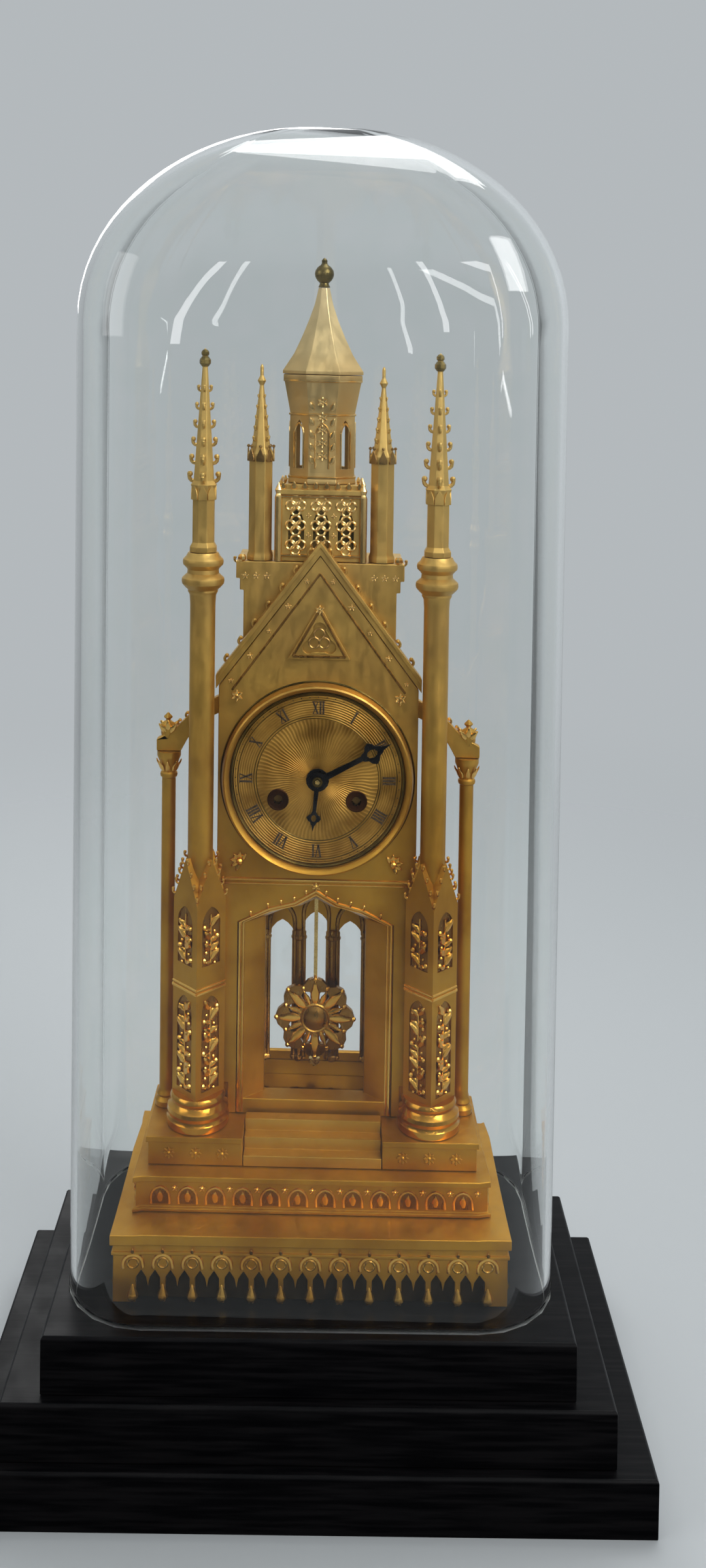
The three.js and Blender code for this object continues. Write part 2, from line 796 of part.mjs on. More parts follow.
// Splayed portal around the doorway, with its sill
function portal() {
  const sill = sillZ - floorZ;
  const head = springZ - floorZ;
  const ring = (points, y) => points.map(([x, z]) => [x, y, z]);
  const outside = doorOutline(portalHalf, SEAT, head, portalTopZ - springZ);
  const mouth = doorOutline(portalHalf - 3, sill, head, DOOR_RISE + PORTAL_HEAD * 0.55);
  const throat = doorOutline(DOOR_HALF, sill, head, DOOR_RISE);
  return loft(
    [
      ring(outside, 0),
      ring(mouth, 0),
      ring(throat, PORTAL_D * 0.75),
      ring(throat, PORTAL_D),
      ring(outside, PORTAL_D),
    ],
    true,
  );
}

add("doorway_portal", portal(), materials.gilt, 0, facadeY, floorZ);

// Raking coping on the gable, with crockets
function gableCoping() {
  const slope = Math.atan2(GABLE_RISE, facadeHalf);
  const lift = COPING_W / Math.cos(slope);
  const gap = SEAT / Math.cos(slope);
  const out = 1.5;
  const drop = (out * GABLE_RISE) / facadeHalf;
  const arms = shapeOf([
    [-facadeHalf - out, gap - drop],
    [0, GABLE_RISE + gap],
    [facadeHalf + out, gap - drop],
    [facadeHalf + out, gap + lift - drop],
    [0, GABLE_RISE + gap + lift],
    [-facadeHalf - out, gap + lift - drop],
  ]);
  const pieces = [panel(arms, COPING_D)];
  const count = 6;
  for (const side of [-1, 1]) {
    for (let i = 0; i < count; i += 1) {
      const t = (i + 0.6) / (count + 0.4);
      const x = side * facadeHalf * (1 - t);
      pieces.push(bud(2.1, x, COPING_D / 2, GABLE_RISE * t + gap + lift + 0.4));
    }
  }
  return join(...pieces);
}

add("gable_coping", gableCoping(), materials.gilt, 0, facadeY - 1, eavesZ);

// Trefoil ornament on the gable: three-lobed ring in a triangular frame
function gableTrefoil() {
  const reach = 15;
  const corner = (k, i) => {
    const a = Math.PI / 2 + (i * Math.PI * 2) / 3;
    return [reach * k * Math.cos(a), reach * k * Math.sin(a)];
  };
  const frame = shapeOf([0, 1, 2].map((i) => corner(1.25, i)));
  const lobes = [];
  for (let i = 0; i < 3; i += 1) {
    const [cx, cy] = corner(0.42, i);
    const facing = Math.PI / 2 + (i * Math.PI * 2) / 3;
    for (let k = -3; k <= 3; k += 1) {
      const a = facing + k * 0.62;
      lobes.push([cx + 3.4 * Math.cos(a), cy + 3.4 * Math.sin(a)]);
    }
  }
  frame.holes.push(shapeOf(lobes));
  return panel(frame, 1.6);
}

add("gable_trefoil", gableTrefoil(), materials.gilt, 0, facadeY - 1.6 - SEAT, eavesZ + GABLE_RISE * 0.36);

// Case walls
const wallFrontY = facadeY + WALL + SEAT;
const wallBackY = caseDepth - SEAT;

function sideWall(side) {
  const depth = wallBackY - wallFrontY;
  const height = eavesZ - floorZ;
  const middle = depth / 2;
  const outline = shapeOf([[0, SEAT], [depth, SEAT], [depth, height], [0, height]]);
  const foot = sillZ - floorZ + 6;
  const spring = springZ - floorZ - 10;
  outline.holes.push(shapeOf(lancet(middle, depth * 0.26, foot, spring, depth * 0.4, 3)));
  const x = side > 0 ? caseX : WALL - caseX;
  const wall = panel(outline, WALL).rotateZ(Math.PI / 2).translate(x, wallFrontY, 0);
  return cut(wall, ...pierNotches());
}

add("case_side_left", sideWall(-1), materials.gilt, 0, 0, floorZ);
add("case_side_right", sideWall(1), materials.gilt, 0, 0, floorZ);

const backHalf = portalHalf - 8;
const backTopZ = springZ - floorZ - 12;

function backWall() {
  const height = eavesZ - floorZ;
  const outline = shapeOf([[-caseX, SEAT], [caseX, SEAT], [caseX, height], [-caseX, height]]);
  outline.holes.push(shapeOf(circle(0, dialZ - floorZ, PLATE_R - 2, 40)));
  const opening = doorOutline(backHalf, SILL_H, backTopZ, DOOR_RISE);
  outline.holes.push(shapeOf(opening));
  return panel(outline, WALL);
}

add("case_back", backWall(), materials.gilt, 0, caseDepth, floorZ);

// Tracery in the rear opening: three lancets between mullions
function tracery() {
  const half = backHalf - SEAT;
  const frame = shapeOf(doorOutline(half, SILL_H + SEAT, backTopZ - SEAT, DOOR_RISE));
  const pitch = (half * 2 - 8) / 3;
  const lightHalf = pitch / 2 - 2;
  const lights = [-1, 0, 1].map((i) => {
    const spring = backTopZ - 14 + (i === 0 ? 5 : 0);
    const light = shapeOf(lancet(i * pitch, lightHalf, SILL_H + 5, spring, lightHalf * 1.5, 4));
    return panel(light, WALL + 1).translate(0, -1, 0);
  });
  return cut(panel(frame, WALL - 1), ...lights);
}

add("rear_tracery", tracery(), materials.gilt, 0, caseDepth + 0.5, floorZ);

// Tower base: hollow block with a moulded cornice
function towerBase() {
  const back = caseBackY;
  const front = facadeY - 1 + COPING_D + SEAT;
  const tier = (out, z0, z1) => block(-TOWER_HALF - out, TOWER_HALF + out, front, back + out, z0, z1);
  const body = join(
    block(-caseX, caseX, front, back, SEAT, 5),
    tier(0, 4, TOWER_H + 1),
    tier(CORNICE_OUT * 0.5, TOWER_H, TOWER_H + CORNICE_H * 0.5),
    tier(CORNICE_OUT, TOWER_H + CORNICE_H * 0.4, TOWER_H + CORNICE_H),
  );
  const inner = block(WALL - TOWER_HALF, TOWER_HALF - WALL, front + WALL, back - WALL, -1, TOWER_H);
  return cut(body, inner);
}

add("tower_base", towerBase(), materials.gilt, 0, 0, eavesZ);

// Turret: round shaft with a collar, cone and knob
function turret() {
  const r = TURRET_R;
  const coneZ = TURRET_SHAFT_H;
  const tipZ = coneZ + TURRET_CONE_H;
  return turned(
    [
      [0, SEAT],
      [r * 1.12, SEAT],
      [r * 1.12, 3],
      [r, 5],
      [r, coneZ - 5],
      [r * 1.14, coneZ - 3],
      [r * 1.14, coneZ],
      [r * 0.8, coneZ + 3],
      [r * 0.16, tipZ],
      [r * 0.34, tipZ + TURRET_TIP_H * 0.2],
      [r * 0.14, tipZ + TURRET_TIP_H * 0.42],
      [r * 0.14, tipZ + TURRET_TIP_H * 0.8],
      [0, tipZ + TURRET_TIP_H],
    ],
    10,
  );
}

add("turret_left", turret(), materials.gilt, -TURRET_X, TURRET_Y, towerTopZ);
add("turret_right", turret(), materials.gilt, TURRET_X, TURRET_Y, towerTopZ);

// Gallery: square storey with three lights in each face, a string course and a parapet
function gallery() {
  const h = GALLERY_HALF;
  const d = GALLERY_DEEP;
  const body = join(
    block(-h, h, -d, d, SEAT, GALLERY_H - 4),
    block(-h - 1, h + 1, -d - 1, d + 1, GALLERY_H - 5, GALLERY_H - 2.5),
    block(-h * 0.86, h * 0.86, -d * 0.86, d * 0.86, GALLERY_H - 3, GALLERY_H),
  );
  const insideX = h - GALLERY_WALL;
  const insideY = d - GALLERY_WALL;
  const tools = [block(-insideX, insideX, -insideY, insideY, -1, GALLERY_H - 8)];
  const lights = 3;
  const pitchX = (h * 2 - 5) / lights;
  const pitchY = (d * 2 - 5) / lights;
  for (let i = 0; i < lights; i += 1) {
    const step = i - (lights - 1) / 2;
    const front = shapeOf(lancet(step * pitchX, pitchX * 0.32, 7, GALLERY_H * 0.5, pitchX * 0.55, 2));
    const flank = shapeOf(lancet(step * pitchY, pitchY * 0.32, 7, GALLERY_H * 0.5, pitchY * 0.55, 2));
    tools.push(panel(front, d * 2 + 4).translate(0, -d - 2, 0));
    tools.push(panel(flank, h * 2 + 4).translate(0, -h - 2, 0).rotateZ(Math.PI / 2));
  }
  return cut(body, ...tools);
}

add("tower_gallery", gallery(), materials.gilt, 0, TOWER_Y, towerTopZ);

// Belfry: eight-sided drum flaring to the eaves, with a slit in each face
function belfry() {
  const flareZ = BELFRY_H - BELFRY_FLARE_H;
  const drum = turned(
    [
      [0, SEAT],
      [BELFRY_R * 1.04, SEAT],
      [BELFRY_R * 1.04, 2.5],
      [BELFRY_R, 4],
      [BELFRY_R, flareZ],
      [BELFRY_EAVE_R * 0.97, BELFRY_H - 4],
      [BELFRY_EAVE_R, BELFRY_H - 2.5],
      [BELFRY_EAVE_R, BELFRY_H],
      [0, BELFRY_H],
    ],
    8,
  );
  const inner = BELFRY_R - 3;
  const tools = [turned([[0, -1], [inner, -1], [inner, flareZ], [0, flareZ]], 8)];
  const light = shapeOf(lancet(0, 2.5, 8, flareZ - 8, 4.5, 2));
  for (let i = 0; i < 4; i += 1) {
    tools.push(panel(light, BELFRY_R * 3).translate(0, -BELFRY_R * 1.5, 0).rotateZ((i * Math.PI) / 4));
  }
  return cut(drum, ...tools);
}

add("belfry", belfry(), materials.gilt, 0, TOWER_Y, belfryZ);

// Spire: eight-sided roof with a hollow sweep, and its finial
function spire() {
  const profile = [[0, SEAT], [BELFRY_EAVE_R * 1.02, SEAT], [BELFRY_EAVE_R * 1.02, 2]];
  const steps = 5;
  for (let i = 1; i <= steps; i += 1) {
    const t = i / steps;
    const sweep = (1 - t) ** 1.35;
    profile.push([SPIRE_NECK_R + (BELFRY_EAVE_R * 0.96 - SPIRE_NECK_R) * sweep, 2 + (SPIRE_H - 2) * t]);
  }
  profile.push([0, SPIRE_H]);
  return turned(profile, 8);
}

add("spire", spire(), materials.gilt, 0, TOWER_Y, spireZ);

function finial() {
  const r = FINIAL_R;
  const mid = FINIAL_H * 0.45;
  return turned(
    [
      [0, SEAT],
      [SPIRE_NECK_R * 1.1, SEAT],
      [SPIRE_NECK_R * 0.8, FINIAL_H * 0.12],
      [r * 0.8, mid - r * 0.6],
      [r, mid],
      [r * 0.8, mid + r * 0.6],
      [r * 0.3, mid + r * 0.95],
      [r * 0.3, FINIAL_H * 0.88],
      [0, FINIAL_H],
    ],
    12,
  );
}

add("spire_finial", finial(), materials.gilt, 0, TOWER_Y, finialZ);

// Dial with its feet, seated on the front wall
const dialBackY = facadeY - SEAT;
const dialFrontY = dialBackY - DIAL_T;
const dialR = BEZEL_R - BEZEL_W - SEAT;

function dial() {
  const disc = shapeOf(circle(0, 0, dialR, 40));
  disc.holes.push(shapeOf(circle(0, 0, 4.1, 12)));
  for (const side of [-1, 1]) disc.holes.push(shapeOf(circle(side * WIND_X, -WIND_DROP, WIND_HOLE_R, 12)));
  const pieces = [panel(disc, DIAL_T).translate(0, dialFrontY, 0)];
  for (const [x, z] of [[-31, 12], [31, 12], [0, -33]]) {
    const foot = rodDeep(1.5, dialBackY - 0.5, PLATE_FRONT_Y - SEAT, 8);
    pieces.push(foot.translate(x, 0, z));
  }
  return join(...pieces);
}

add("dial", dial(), materials.matte, 0, 0, dialZ);

function bezel() {
  const inner = BEZEL_R - BEZEL_W;
  return turnedDeep(
    [
      [inner, -BEZEL_D * 0.55],
      [inner + BEZEL_W * 0.25, -BEZEL_D * 0.85],
      [inner + BEZEL_W * 0.55, -BEZEL_D],
      [BEZEL_R - 0.4, -BEZEL_D * 0.6],
      [BEZEL_R, 0],
      [inner, 0],
      [inner, -BEZEL_D * 0.55],
    ],
    32,
  );
}

add("bezel", bezel(), materials.gilt, 0, dialBackY, dialZ);

// Motion work behind the dial and the hands in front of it
const hourWheelY = -1.6;
const minuteWheelY = 1.2;
const pipeEndY = dialFrontY - 2.1;
const hourHandY = dialFrontY - 1.8;
const cannonEndY = pipeEndY - 0.7;
const minuteHandY = cannonEndY - SEAT - HAND_T;
const arborEndY = minuteHandY - 1.8;
const collarY = minuteHandY - SEAT - 1.1;
const motionAngle = Math.PI * 0.36;
const motionPost = [MOTION_DISTANCE * Math.cos(motionAngle), MOTION_DISTANCE * Math.sin(motionAngle)];
const cannonR = (MOTION_DISTANCE * CANNON_TEETH) / (CANNON_TEETH + MINUTE_TEETH);
const minuteR = MOTION_DISTANCE - cannonR;
const minutePinionR = (MOTION_DISTANCE * MINUTE_LEAVES) / (MINUTE_LEAVES + HOUR_TEETH);
const hourR = MOTION_DISTANCE - minutePinionR;
const arborR = 1.3;
const cannonTubeR = 2.1;
const pipeR = 3.3;

function cannonPinion() {
  const teeth = gear(CANNON_TEETH, cannonR, 0, minuteWheelY - 0.3, minuteWheelY + WHEEL_T + 0.2);
  const tube = rodDeep(cannonTubeR, cannonEndY, minuteWheelY, 10);
  return cut(join(teeth, tube), rodDeep(arborR + SEAT, cannonEndY - 1, minuteWheelY + WHEEL_T + 2, 8));
}

add("cannon_pinion", cannonPinion(), materials.steel, 0, 0, dialZ);

const minutePhase = meshPhase(CANNON_TEETH, 0, motionAngle, MINUTE_TEETH);

function minuteWheel() {
  const wheel = gear(MINUTE_TEETH, minuteR, minutePhase, minuteWheelY, minuteWheelY + WHEEL_T);
  const leaves = gear(MINUTE_LEAVES, minutePinionR, 0, hourWheelY - 0.4, minuteWheelY + 0.2);
  const bore = rodDeep(PIVOT_R + PIVOT_GAP, hourWheelY - 2, minuteWheelY + WHEEL_T + 1, 8);
  return cut(join(wheel, leaves), bore);
}

add("minute_wheel", minuteWheel(), materials.brass, motionPost[0], 0, dialZ + motionPost[1]);

const hourPhase = meshPhase(MINUTE_LEAVES, 0, motionAngle + Math.PI, HOUR_TEETH);

function hourWheel() {
  const wheel = gear(HOUR_TEETH, hourR, hourPhase, hourWheelY, hourWheelY + WHEEL_T);
  const pipe = rodDeep(pipeR, pipeEndY, hourWheelY + 0.2, 12);
  return cut(join(wheel, pipe), rodDeep(cannonTubeR + SEAT, pipeEndY - 1, hourWheelY + WHEEL_T + 1, 10));
}

add("hour_wheel", hourWheel(), materials.brass, 0, 0, dialZ);

// Hands: openwork, drawn pointing up and turned to the time shown
function hand(length, hubR, boreR, degrees) {
  const w = length * 0.02 + 0.35;
  const bead = length * 0.1;
  const stem = shapeOf([
    [-w * 1.4, hubR * 0.7],
    [w * 1.4, hubR * 0.7],
    [w, length * 0.62],
    [-w, length * 0.62],
  ]);
  const tip = shapeOf([[-w, length * 0.86], [w, length * 0.86], [0, length]]);
  const hub = shapeOf(circle(0, 0, hubR, 16));
  const rose = [];
  const eye = [];
  for (let i = 0; i < 16; i += 1) {
    const a = (i / 16) * Math.PI * 2;
    const k = 1 + 0.22 * Math.cos(4 * a);
    rose.push([bead * 1.15 * k * Math.cos(a), length * 0.74 + bead * 1.35 * k * Math.sin(a)]);
    if (i % 2 === 0) eye.push([bead * 0.5 * Math.cos(a), length * 0.74 + bead * 0.7 * Math.sin(a)]);
  }
  const leaf = shapeOf(rose);
  leaf.holes.push(shapeOf(eye));
  const solid = join(panel(hub, HAND_T), panel(stem, HAND_T), panel(leaf, HAND_T), panel(tip, HAND_T));
  const bored = cut(solid, rodDeep(boreR, -1, HAND_T + 1, 12));
  return bored.rotateY((degrees * Math.PI) / 180);
}

const hourHand = hand(HOUR_L, pipeR + SEAT + 2.4, pipeR + SEAT, HAND_TURN_HOUR);
add("hour_hand", hourHand, materials.blued, 0, hourHandY, dialZ);
add("minute_hand", hand(MINUTE_L, 4.6, arborR + SEAT, HAND_TURN_MIN), materials.blued, 0, minuteHandY, dialZ);

const collet = cut(rodDeep(2.6, 0, 1.1, 12), rodDeep(arborR + SEAT, -1, 3, 12));
add("hand_collet", collet, materials.brass, 0, collarY, dialZ);

// Train positions in the movement, measured from the centre arbor
const centreAt = [0, 0];
const goingAt = [WIND_X, -WIND_DROP];
const strikeAt = [-WIND_X, -WIND_DROP];
const secondLeafR = (BARREL_PITCH_R * SECOND_LEAVES) / BARREL_TEETH;
const secondReach = BARREL_PITCH_R + secondLeafR;
const secondAngle = (100 * Math.PI) / 180;
const secondAt = [
  goingAt[0] + secondReach * Math.cos(secondAngle),
  goingAt[1] + secondReach * Math.sin(secondAngle),
];
const countAngle = (-60 * Math.PI) / 180;
const countAt = [
  strikeAt[0] + secondReach * Math.cos(countAngle),
  strikeAt[1] + secondReach * Math.sin(countAngle),
];
const escapeAt = [0, ESCAPE_Z];
const thirdAt = [-ESCAPE_Z / 2, ESCAPE_Z / 2];
const hammerAt = [27, -25];
const bellAt = [BELL_X, 2];
const pillarsAt = [[-26, 27], [26, 27], [-22, -30], [22, -30]];

function plateHoles(holes, radius) {
  const disc = shapeOf(circle(0, 0, radius, 32));
  for (const [at, r] of holes) disc.holes.push(shapeOf(circle(at[0], at[1], r, 8)));
  return disc;
}

const pivot = PIVOT_R + PIVOT_GAP;
const barrelArborR = 2.6;
const frontHoles = [
  [centreAt, arborR + PIVOT_GAP],
  [goingAt, barrelArborR + PIVOT_GAP],
  [strikeAt, barrelArborR + PIVOT_GAP],
  [secondAt, pivot],
  [thirdAt, pivot],
  [escapeAt, pivot],
  [countAt, pivot],
  [[0, ANCHOR_Z], pivot],
];

function frontPlate() {
  const plate = panel(plateHoles(frontHoles, PLATE_R), PLATE_T).translate(0, PLATE_FRONT_Y, 0);
  const post = rodDeep(PIVOT_R, hourWheelY - 1, PLATE_FRONT_Y + 1);
  return join(plate, post.translate(motionPost[0], 0, motionPost[1]));
}

add("movement_front_plate", frontPlate(), materials.brass, 0, 0, dialZ);

// Back plate with its four riveted pillars
function backPlate() {
  const pieces = [panel(plateHoles(frontHoles, PLATE_R), PLATE_T).translate(0, plateBackY, 0)];
  const y0 = PLATE_FRONT_Y + PLATE_T + SEAT;
  const y1 = plateBackY + 0.5;
  const r = PILLAR_R;
  for (const [x, z] of pillarsAt) {
    const profile = [[0, y0], [r, y0], [r * 0.8, y0 + 3], [r * 0.8, y1 - 3], [r, y1], [0, y1]];
    pieces.push(turnedDeep(profile, 6).translate(x, 0, z));
  }
  return join(...pieces);
}

add("movement_back_plate", backPlate(), materials.brass, 0, 0, dialZ);

// Barrels: drum, great wheel and arbor with its winding square
const barrelY = PLATE_FRONT_Y + PLATE_T + 3.2;
const greatY = barrelY + BARREL_L;

function barrel(phase) {
  const drum = rodDeep(BARREL_R, barrelY, greatY + 0.5, 24);
  const wheel = gear(BARREL_TEETH, BARREL_PITCH_R, phase, greatY, greatY + 1.6);
  const arbor = rodDeep(barrelArborR, PLATE_FRONT_Y - 0.5, plateEndY, 8);
  const square = rodDeep(barrelArborR * 0.95, dialBackY + 0.4, PLATE_FRONT_Y, 4);
  return join(drum, wheel, arbor, square);
}

const secondLeafPhase = 0;
const goingPhase = meshPhase(SECOND_LEAVES, secondLeafPhase, angleTo(secondAt, goingAt), BARREL_TEETH);
add("going_barrel", barrel(goingPhase), materials.brass, goingAt[0], 0, dialZ + goingAt[1]);
add("strike_barrel", barrel(0), materials.brass, strikeAt[0], 0, dialZ + strikeAt[1]);

// Going train
const secondWheelY = greatY + 3.4;
const centreReach = distance(centreAt, secondAt);
const centreLeafR = (centreReach * CENTRE_LEAVES) / (CENTRE_LEAVES + SECOND_TEETH);
const secondR = centreReach - centreLeafR;
const secondPhase = meshPhase(CENTRE_LEAVES, 0, angleTo(centreAt, secondAt), SECOND_TEETH);
const plateSpanY = [PLATE_FRONT_Y, plateEndY];

function secondWheel() {
  const leaves = gear(SECOND_LEAVES, secondLeafR, secondLeafPhase, greatY - 0.5, greatY + 2.2);
  const wheel = gear(SECOND_TEETH, secondR, secondPhase, secondWheelY, secondWheelY + WHEEL_T);
  return join(rodDeep(PIVOT_R, ...plateSpanY), leaves, wheel);
}

add("intermediate_wheel", secondWheel(), materials.brass, secondAt[0], 0, dialZ + secondAt[1]);

const centreWheelY = PLATE_FRONT_Y + PLATE_T + 0.8;
const thirdReach = distance(centreAt, thirdAt);
const thirdLeafR = (thirdReach * THIRD_LEAVES) / (THIRD_LEAVES + CENTRE_TEETH);
const centreR = thirdReach - thirdLeafR;

function centreWheel() {
  const wheel = gear(CENTRE_TEETH, centreR, 0, centreWheelY, centreWheelY + WHEEL_T);
  const leaves = gear(CENTRE_LEAVES, centreLeafR, 0, secondWheelY - 0.4, secondWheelY + WHEEL_T + 0.4);
  return join(rodDeep(arborR, arborEndY, plateEndY, 8), wheel, leaves);
}

add("centre_wheel", centreWheel(), materials.brass, 0, 0, dialZ);

const escapeReach = distance(thirdAt, escapeAt);
const escapeLeafR = (escapeReach * ESCAPE_LEAVES) / (ESCAPE_LEAVES + THIRD_TEETH);
const thirdR = escapeReach - escapeLeafR;
const thirdLeafPhase = meshPhase(CENTRE_TEETH, 0, angleTo(centreAt, thirdAt), THIRD_LEAVES);
const thirdWheelY = plateBackY - WHEEL_T - 0.7;

function thirdWheel() {
  const leafEndY = centreWheelY + WHEEL_T + 0.4;
  const leaves = gear(THIRD_LEAVES, thirdLeafR, thirdLeafPhase, centreWheelY - 0.3, leafEndY);
  const wheel = gear(THIRD_TEETH, thirdR, 0, thirdWheelY, thirdWheelY + WHEEL_T);
  return join(rodDeep(PIVOT_R, ...plateSpanY), leaves, wheel);
}

add("third_wheel", thirdWheel(), materials.brass, thirdAt[0], 0, dialZ + thirdAt[1]);

const escapePhase = meshPhase(THIRD_TEETH, 0, angleTo(thirdAt, escapeAt), ESCAPE_LEAVES);
const escapeWheelY = (PLATE_FRONT_Y + plateEndY) / 2;

function escapeWheel() {
  const points = [];
  for (let i = 0; i < ESCAPE_TEETH; i += 1) {
    const a = (i / ESCAPE_TEETH) * Math.PI * 2;
    points.push([ESCAPE_R * Math.cos(a), ESCAPE_R * Math.sin(a)]);
    points.push([ESCAPE_R * 0.8 * Math.cos(a + 0.09), ESCAPE_R * 0.8 * Math.sin(a + 0.09)]);
  }
  const wheel = panel(shapeOf(points), WHEEL_T).translate(0, escapeWheelY, 0);
  const leaves = gear(ESCAPE_LEAVES, escapeLeafR, escapePhase, thirdWheelY - 0.4, plateBackY - SEAT);
  return join(rodDeep(PIVOT_R, ...plateSpanY), wheel, leaves);
}

add("escape_wheel", escapeWheel(), materials.brass, escapeAt[0], 0, dialZ + escapeAt[1]);

// Anchor with its arbor and the crutch that reaches back to the pendulum rod
function anchor() {
  const fall = ANCHOR_Z - ESCAPE_Z;
  const reach = ESCAPE_R + 0.8;
  const arms = [];
  const outer = [];
  for (let k = -4; k <= 4; k += 1) {
    const a = Math.PI / 2 + (k / 4) * 0.9;
    arms.push([reach * Math.cos(a), reach * Math.sin(a) - fall]);
    outer.unshift([(reach + 1.8) * Math.cos(a), (reach + 1.8) * Math.sin(a) - fall]);
  }
  const bow = panel(shapeOf([...arms, ...outer]), WHEEL_T).translate(0, escapeWheelY, 0);
  const neck = block(-1.2, 1.2, escapeWheelY, escapeWheelY + WHEEL_T, reach + 0.6 - fall, 0);
  const arbor = rodDeep(PIVOT_R, PLATE_FRONT_Y, plateEndY + 3);
  const armY = plateEndY + 2;
  const low = -ANCHOR_Z + 4;
  const arm = block(-1, 1, armY, armY + 1, low, 0.8);
  const bar = block(-3.4, 3.4, armY, armY + 1, low - 1, low + 1);
  const prongY = pendulumY + ROD_T;
  const prongX = ROD_W / 2 + 0.7;
  const left = block(-prongX - 1.2, -prongX, armY, prongY, low - 1, low + 1);
  const right = block(prongX, prongX + 1.2, armY, prongY, low - 1, low + 1);
  return join(arbor, bow, neck, arm, bar, left, right);
}

add("anchor_crutch", anchor(), materials.steel, 0, 0, dialZ + ANCHOR_Z);

// Suspension bracket on the back plate, and the pendulum that hangs from it
function bracket() {
  const foot = block(-6, 6, plateEndY + SEAT, plateEndY + 3, HANG_Z - 1.6, HANG_Z + 5);
  const arm = block(-4, 4, plateEndY + 1, pendulumY + 2, HANG_Z + SEAT, HANG_Z + 5);
  const relief = block(-8, 8, plateEndY - 1, plateEndY + 4, HANG_Z - 4, HANG_Z + SEAT);
  return cut(join(foot, arm), relief);
}

add("suspension_bracket", bracket(), materials.brass, 0, 0, dialZ);

const floorGap = dialZ + HANG_Z - floorZ;
const pendulumL = floorGap - BOB_CLEAR - BOB_R;
const springL = 11;

const ribbon = block(-2.2, 2.2, -0.2, 0.2, -springL, -SEAT);
add("suspension_spring", ribbon, materials.steel, 0, pendulumY, dialZ + HANG_Z);

function pendulumRod() {
  const rod = block(-ROD_W / 2, ROD_W / 2, -ROD_T / 2, ROD_T / 2, -pendulumL - BOB_R - 5, -springL - SEAT);
  const clip = block(-3, 3, -1, 1, -springL - 4, -springL - SEAT);
  return join(rod, clip);
}

add("pendulum_rod", pendulumRod(), materials.brass, 0, pendulumY, dialZ + HANG_Z);

// Rosette bob: eight pierced petals around a boss, bored for the rod
function bob() {
  const rim = [];
  const petals = 8;
  const steps = petals * 4;
  for (let i = 0; i < steps; i += 1) {
    const a = (i / steps) * Math.PI * 2;
    const k = 0.84 + 0.16 * Math.abs(Math.cos((petals / 2) * a));
    rim.push([BOB_R * k * Math.cos(a), BOB_R * k * Math.sin(a)]);
  }
  const rosette = shapeOf(rim);
  for (let i = 0; i < petals; i += 1) {
    const a = ((i + 0.5) / petals) * Math.PI * 2;
    const reach = BOB_R * 0.56;
    rosette.holes.push(shapeOf(circle(reach * Math.cos(a), reach * Math.sin(a), BOB_R * 0.15, 6)));
  }
  const disc = panel(rosette, BOB_T * 0.6).translate(0, -BOB_T * 0.3, 0);
  const boss = turnedDeep(
    [
      [0, -BOB_T * 0.62],
      [BOB_R * 0.2, -BOB_T * 0.5],
      [BOB_R * 0.32, -BOB_T * 0.25],
      [BOB_R * 0.32, 0],
      [0, 0],
    ],
    16,
  );
  const slot = block(
    -ROD_W / 2 - SEAT,
    ROD_W / 2 + SEAT,
    -ROD_T / 2 - SEAT,
    BOB_T,
    -BOB_R * 2,
    BOB_R * 2,
  );
  return cut(join(disc, boss), slot);
}

add("pendulum_bob", bob(), materials.gilt, 0, pendulumY, dialZ + HANG_Z - pendulumL);

const nut = cut(
  rodUp(3, 0, 2.6, 10),
  block(-ROD_W / 2 - SEAT, ROD_W / 2 + SEAT, -ROD_T / 2 - SEAT, ROD_T / 2 + SEAT, -1, 4),
);
add("rating_nut", nut, materials.brass, 0, pendulumY, dialZ + HANG_Z - pendulumL - BOB_R - 3.2);

// Bell on its post, hammer and count wheel behind the back plate
const bellY = pendulumY + 3.2;
const postR = 2;

function bell() {
  const t = BELL_T;
  const outer = [];
  const inner = [];
  for (let i = 0; i <= 4; i += 1) {
    const a = ((i / 4) * Math.PI) / 2;
    const rise = BELL_H * Math.sin(a);
    outer.push([Math.max(postR + SEAT, BELL_R * Math.cos(a)), bellY + rise]);
    const hollow = Math.max(postR + SEAT, (BELL_R - t) * Math.cos(a));
    inner.unshift([hollow, bellY + Math.max(0, rise - t * Math.sin(a))]);
  }
  return turnedDeep([...outer, ...inner, outer[0]], 20);
}

add("bell", bell(), materials.brass, bellAt[0], 0, dialZ + bellAt[1]);

function bellPost() {
  const y0 = plateEndY + SEAT;
  const y1 = bellY + BELL_H;
  return turnedDeep(
    [
      [0, y0],
      [postR * 1.7, y0],
      [postR * 1.7, y0 + 1.5],
      [postR, y0 + 2],
      [postR, y1 + SEAT],
      [postR * 1.8, y1 + SEAT],
      [postR * 1.8, y1 + 2],
      [0, y1 + 3],
    ],
    10,
  );
}

add("bell_post", bellPost(), materials.steel, bellAt[0], 0, dialZ + bellAt[1]);

function hammer() {
  const y0 = plateEndY + SEAT;
  const armY = bellY + SEAT;
  const armEndY = armY + HAMMER_T;
  const head = [bellAt[0] + BELL_R + 2 - hammerAt[0], bellAt[1] - 3 - hammerAt[1]];
  const arm = shapeOf([[-1.2, 0], [1.2, 0], [head[0] + 0.7, head[1]], [head[0] - 0.7, head[1]]]);
  return join(
    rodDeep(1.4, y0, armEndY, 8),
    panel(arm, HAMMER_T).translate(0, armY, 0),
    rodDeep(1.5, armY - 0.2, armEndY + 0.2, 8).translate(head[0], 0, head[1]),
  );
}

add("strike_hammer", hammer(), materials.steel, hammerAt[0], 0, dialZ + hammerAt[1]);

